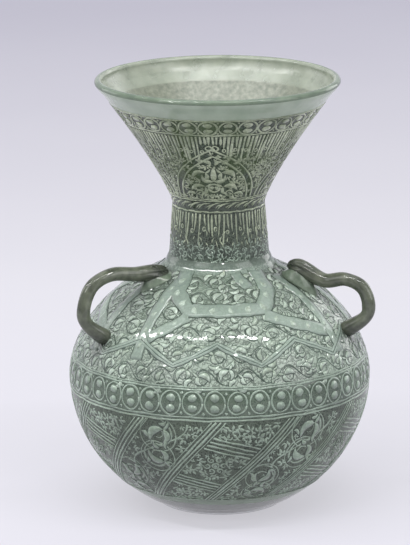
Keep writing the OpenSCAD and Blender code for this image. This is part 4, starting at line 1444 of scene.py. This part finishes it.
# %% Wick
STRANDS, TWIST_MM, STRAND_DEEP, CHAR_MM = 3, 9.0, 0.22, 4.5
BURNT_THIN = np.array([0.9, 0.75, 0.5])
wick_low, wick_high = size_of("wick")
levels = np.linspace(wick_low.z, wick_high.z, 60)[:, None]
wick_turn = np.linspace(0, 2 * math.pi, 37)
lobes = np.abs(np.sin(STRANDS / 2 * (wick_turn + 2 * math.pi * levels / TWIST_MM)))
fat = wick_high.x * (1 - STRAND_DEEP + STRAND_DEEP * lobes)
fat[0] = fat[-1] = 0
fat[-4:-1] *= BURNT_THIN[:, None]
rings = np.stack([fat * np.cos(wick_turn), fat * np.sin(wick_turn), np.broadcast_to(levels, fat.shape)], -1)
wick = lofted("cotton_wick", rings)
wick.data.materials.append(cotton)
wick.data.materials.append(char)
for face in wick.data.polygons:
    face.material_index = int(face.center.z / MM > wick_high.z - CHAR_MM)
dress(wick, "wick", "cotton", "wick")

# %% [markdown]
# ## Table
# The lamp stands on a pale sheet that runs on behind it. The sheet is one wide floor with a matt
# skin. Part of its paleness is a glow of its own, so that it stays pale without more light on the
# lamp, and the rest still takes the lamp's shadow. The glow is painted lightest a little behind the
# lamp and darker towards the front and far away: painted light and shade for the fall of the light.

# %% Table
FLOOR_R, FLOOR_CELLS, GLOW, FIBRE_MM = 9000 * MM, 40, 0.66, 300
NEAR_Y, MIDDLE_Y, FAR_Y = -0.3, 0.6, 2.0
bm = bmesh.new()
bmesh.ops.create_grid(bm, x_segments=FLOOR_CELLS, y_segments=FLOOR_CELLS, size=FLOOR_R)
floor = as_object("table", bm)
# White paper, matt: no highlight, only a soft shadow, and a glow painted lighter behind the lamp and darker
# far off.
sheet, tree, place = new_material("white_paper_sheet_matt")
parts = add(tree, "ShaderNodeSeparateXYZ", {"Vector": place})
# Painted light and shade: the glow is lightest a little behind the lamp, darker in front and far away.
near = add(tree, "ShaderNodeMapRange",
           {"Value": parts.outputs["Y"], "From Min": NEAR_Y, "From Max": MIDDLE_Y})
painted_falloff = add(tree, "ShaderNodeMapRange",
          {"Value": parts.outputs["Y"], "From Min": MIDDLE_Y, "From Max": FAR_Y})
fibre = add(tree, "ShaderNodeTexNoise", {"Vector": place, "Scale": per_mm(FIBRE_MM), "Detail": 3.0})
grain = add(tree, "ShaderNodeMapRange",
            {"Value": fibre.outputs["Fac"], "To Min": -0.08, "To Max": 0.08})
blend = add(tree, "ShaderNodeMath", {0: painted_falloff.outputs["Result"], 1: grain.outputs["Result"]},
            operation="ADD", use_clamp=True)
painted_near_glow = add(tree, "ShaderNodeMix",
                 {MIX_FACTOR: near.outputs["Result"], MIX_A: linear("#e0dfe5"), MIX_B: linear("#e8e7ec")},
                 data_type="RGBA")
painted_glow = add(tree, "ShaderNodeMix",
           {MIX_FACTOR: blend.outputs[0], MIX_A: painted_near_glow.outputs[2], MIX_B: linear("#c0becc")},
           data_type="RGBA")
paper = add(tree, "ShaderNodeBsdfPrincipled",
            {"Base Color": linear("#77767d"), "Roughness": 0.85, "Specular IOR Level": 0.1,
             "Emission Color": painted_glow.outputs[2], "Emission Strength": GLOW})
finish_material(tree, paper)
floor.data.materials.append(sheet)
print("table across in m:", 2 * FLOOR_R)

# %% [markdown]
# ## Light
# The lamp is lit softly, from a window on the left, a pale wall on the right and the ceiling. The
# room itself is a world that is brighter behind the lamp than behind the viewer, because glass
# shows what stands round it. Two thin tubes and a row of small spots near the ceiling give the
# shoulder its broken bright lines. Broad lamps alone would leave it looking like wax.

# %% Lights
ROOM_LIGHT = 0.85
TUBE_LIGHT_WIDE, TUBE_LIGHT_TURN = 0.035, -39.7
SPOT_WIDE, SPOT_POWER = 0.05, 1.2


def softbox(name, spot, size, power, target=(0, 0, 0.14), tall=None):
    """A rectangular lamp at a spot in metres, turned to a target."""
    data = bpy.data.lights.new(name, "AREA")
    data.shape = "RECTANGLE"
    data.size = size
    data.size_y = tall or size
    data.energy = power
    made = bpy.data.objects.new(name, data)
    bpy.context.scene.collection.objects.link(made)
    made.location = spot
    made.rotation_euler = (Vector(target) - Vector(spot)).to_track_quat("-Z", "Y").to_euler()
    return made


world = bpy.data.worlds.new("pale_room")
bpy.context.scene.world = world
world.use_nodes = True
sky = world.node_tree
ways = add(sky, "ShaderNodeSeparateXYZ", {"Vector": add(sky, "ShaderNodeTexCoord").outputs["Generated"]})
height = add(sky, "ShaderNodeMapRange", {"Value": ways.outputs["Z"], "From Min": 0.0, "From Max": 0.8})
depth = add(sky, "ShaderNodeMapRange", {"Value": ways.outputs["Y"], "From Min": -0.8, "From Max": 0.6})
walls = add(sky, "ShaderNodeMix",
            {MIX_FACTOR: depth.outputs["Result"], MIX_A: linear("#7d7f84"), MIX_B: linear("#f4f4fa")},
            data_type="RGBA")
room = add(sky, "ShaderNodeMix",
           {MIX_FACTOR: height.outputs["Result"], MIX_A: walls.outputs[2], MIX_B: linear("#f0f0f6")},
           data_type="RGBA")
sky.links.new(room.outputs[2], sky.nodes["Background"].inputs["Color"])
sky.nodes["Background"].inputs["Strength"].default_value = ROOM_LIGHT

key = softbox("window", (-2.2, -2.0, 2.3), 1.8, 20)
top = softbox("ceiling", (0.2, 0.3, 3.0), 2.2, 12)
fill = softbox("wall", (2.6, -1.8, 1.5), 2.0, 28)
sides = [softbox("wall_behind_left", (-2.0, 1.5, 0.8), 1.2, 6),
         softbox("wall_behind_right", (2.0, 1.5, 0.8), 1.2, 9)]
tubes = [softbox("ceiling_tube_right", (0.22, -0.57, 1.4), 1.35, 13, (0.22, -0.57, 0), TUBE_LIGHT_WIDE),
         softbox("ceiling_tube_left", (-1.07, -0.055, 1.4), 1.6, 15, (-1.07, -0.055, 0), TUBE_LIGHT_WIDE)]
tubes[1].rotation_euler.z = math.radians(TUBE_LIGHT_TURN)
spots = [softbox("ceiling_spot_%d" % i, (x, -1.1, 1.4), SPOT_WIDE, SPOT_POWER)
         for i, x in enumerate((0.2, -0.65, -1.52, -2.26))]
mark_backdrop(floor, key, top, fill, *sides, *tubes, *spots)
print("lamps:", 3 + len(sides) + len(tubes) + len(spots))

# %% [markdown]
# ## Finish
# The plain view transform shows colours as they were written, and the box of the dressed lamp is printed at
# the end.

# %% Finish
bpy.context.scene.view_settings.view_transform = "Standard"
low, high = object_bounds()
print("visual box in mm:", [round(1000 * x, 1) for x in high - low])
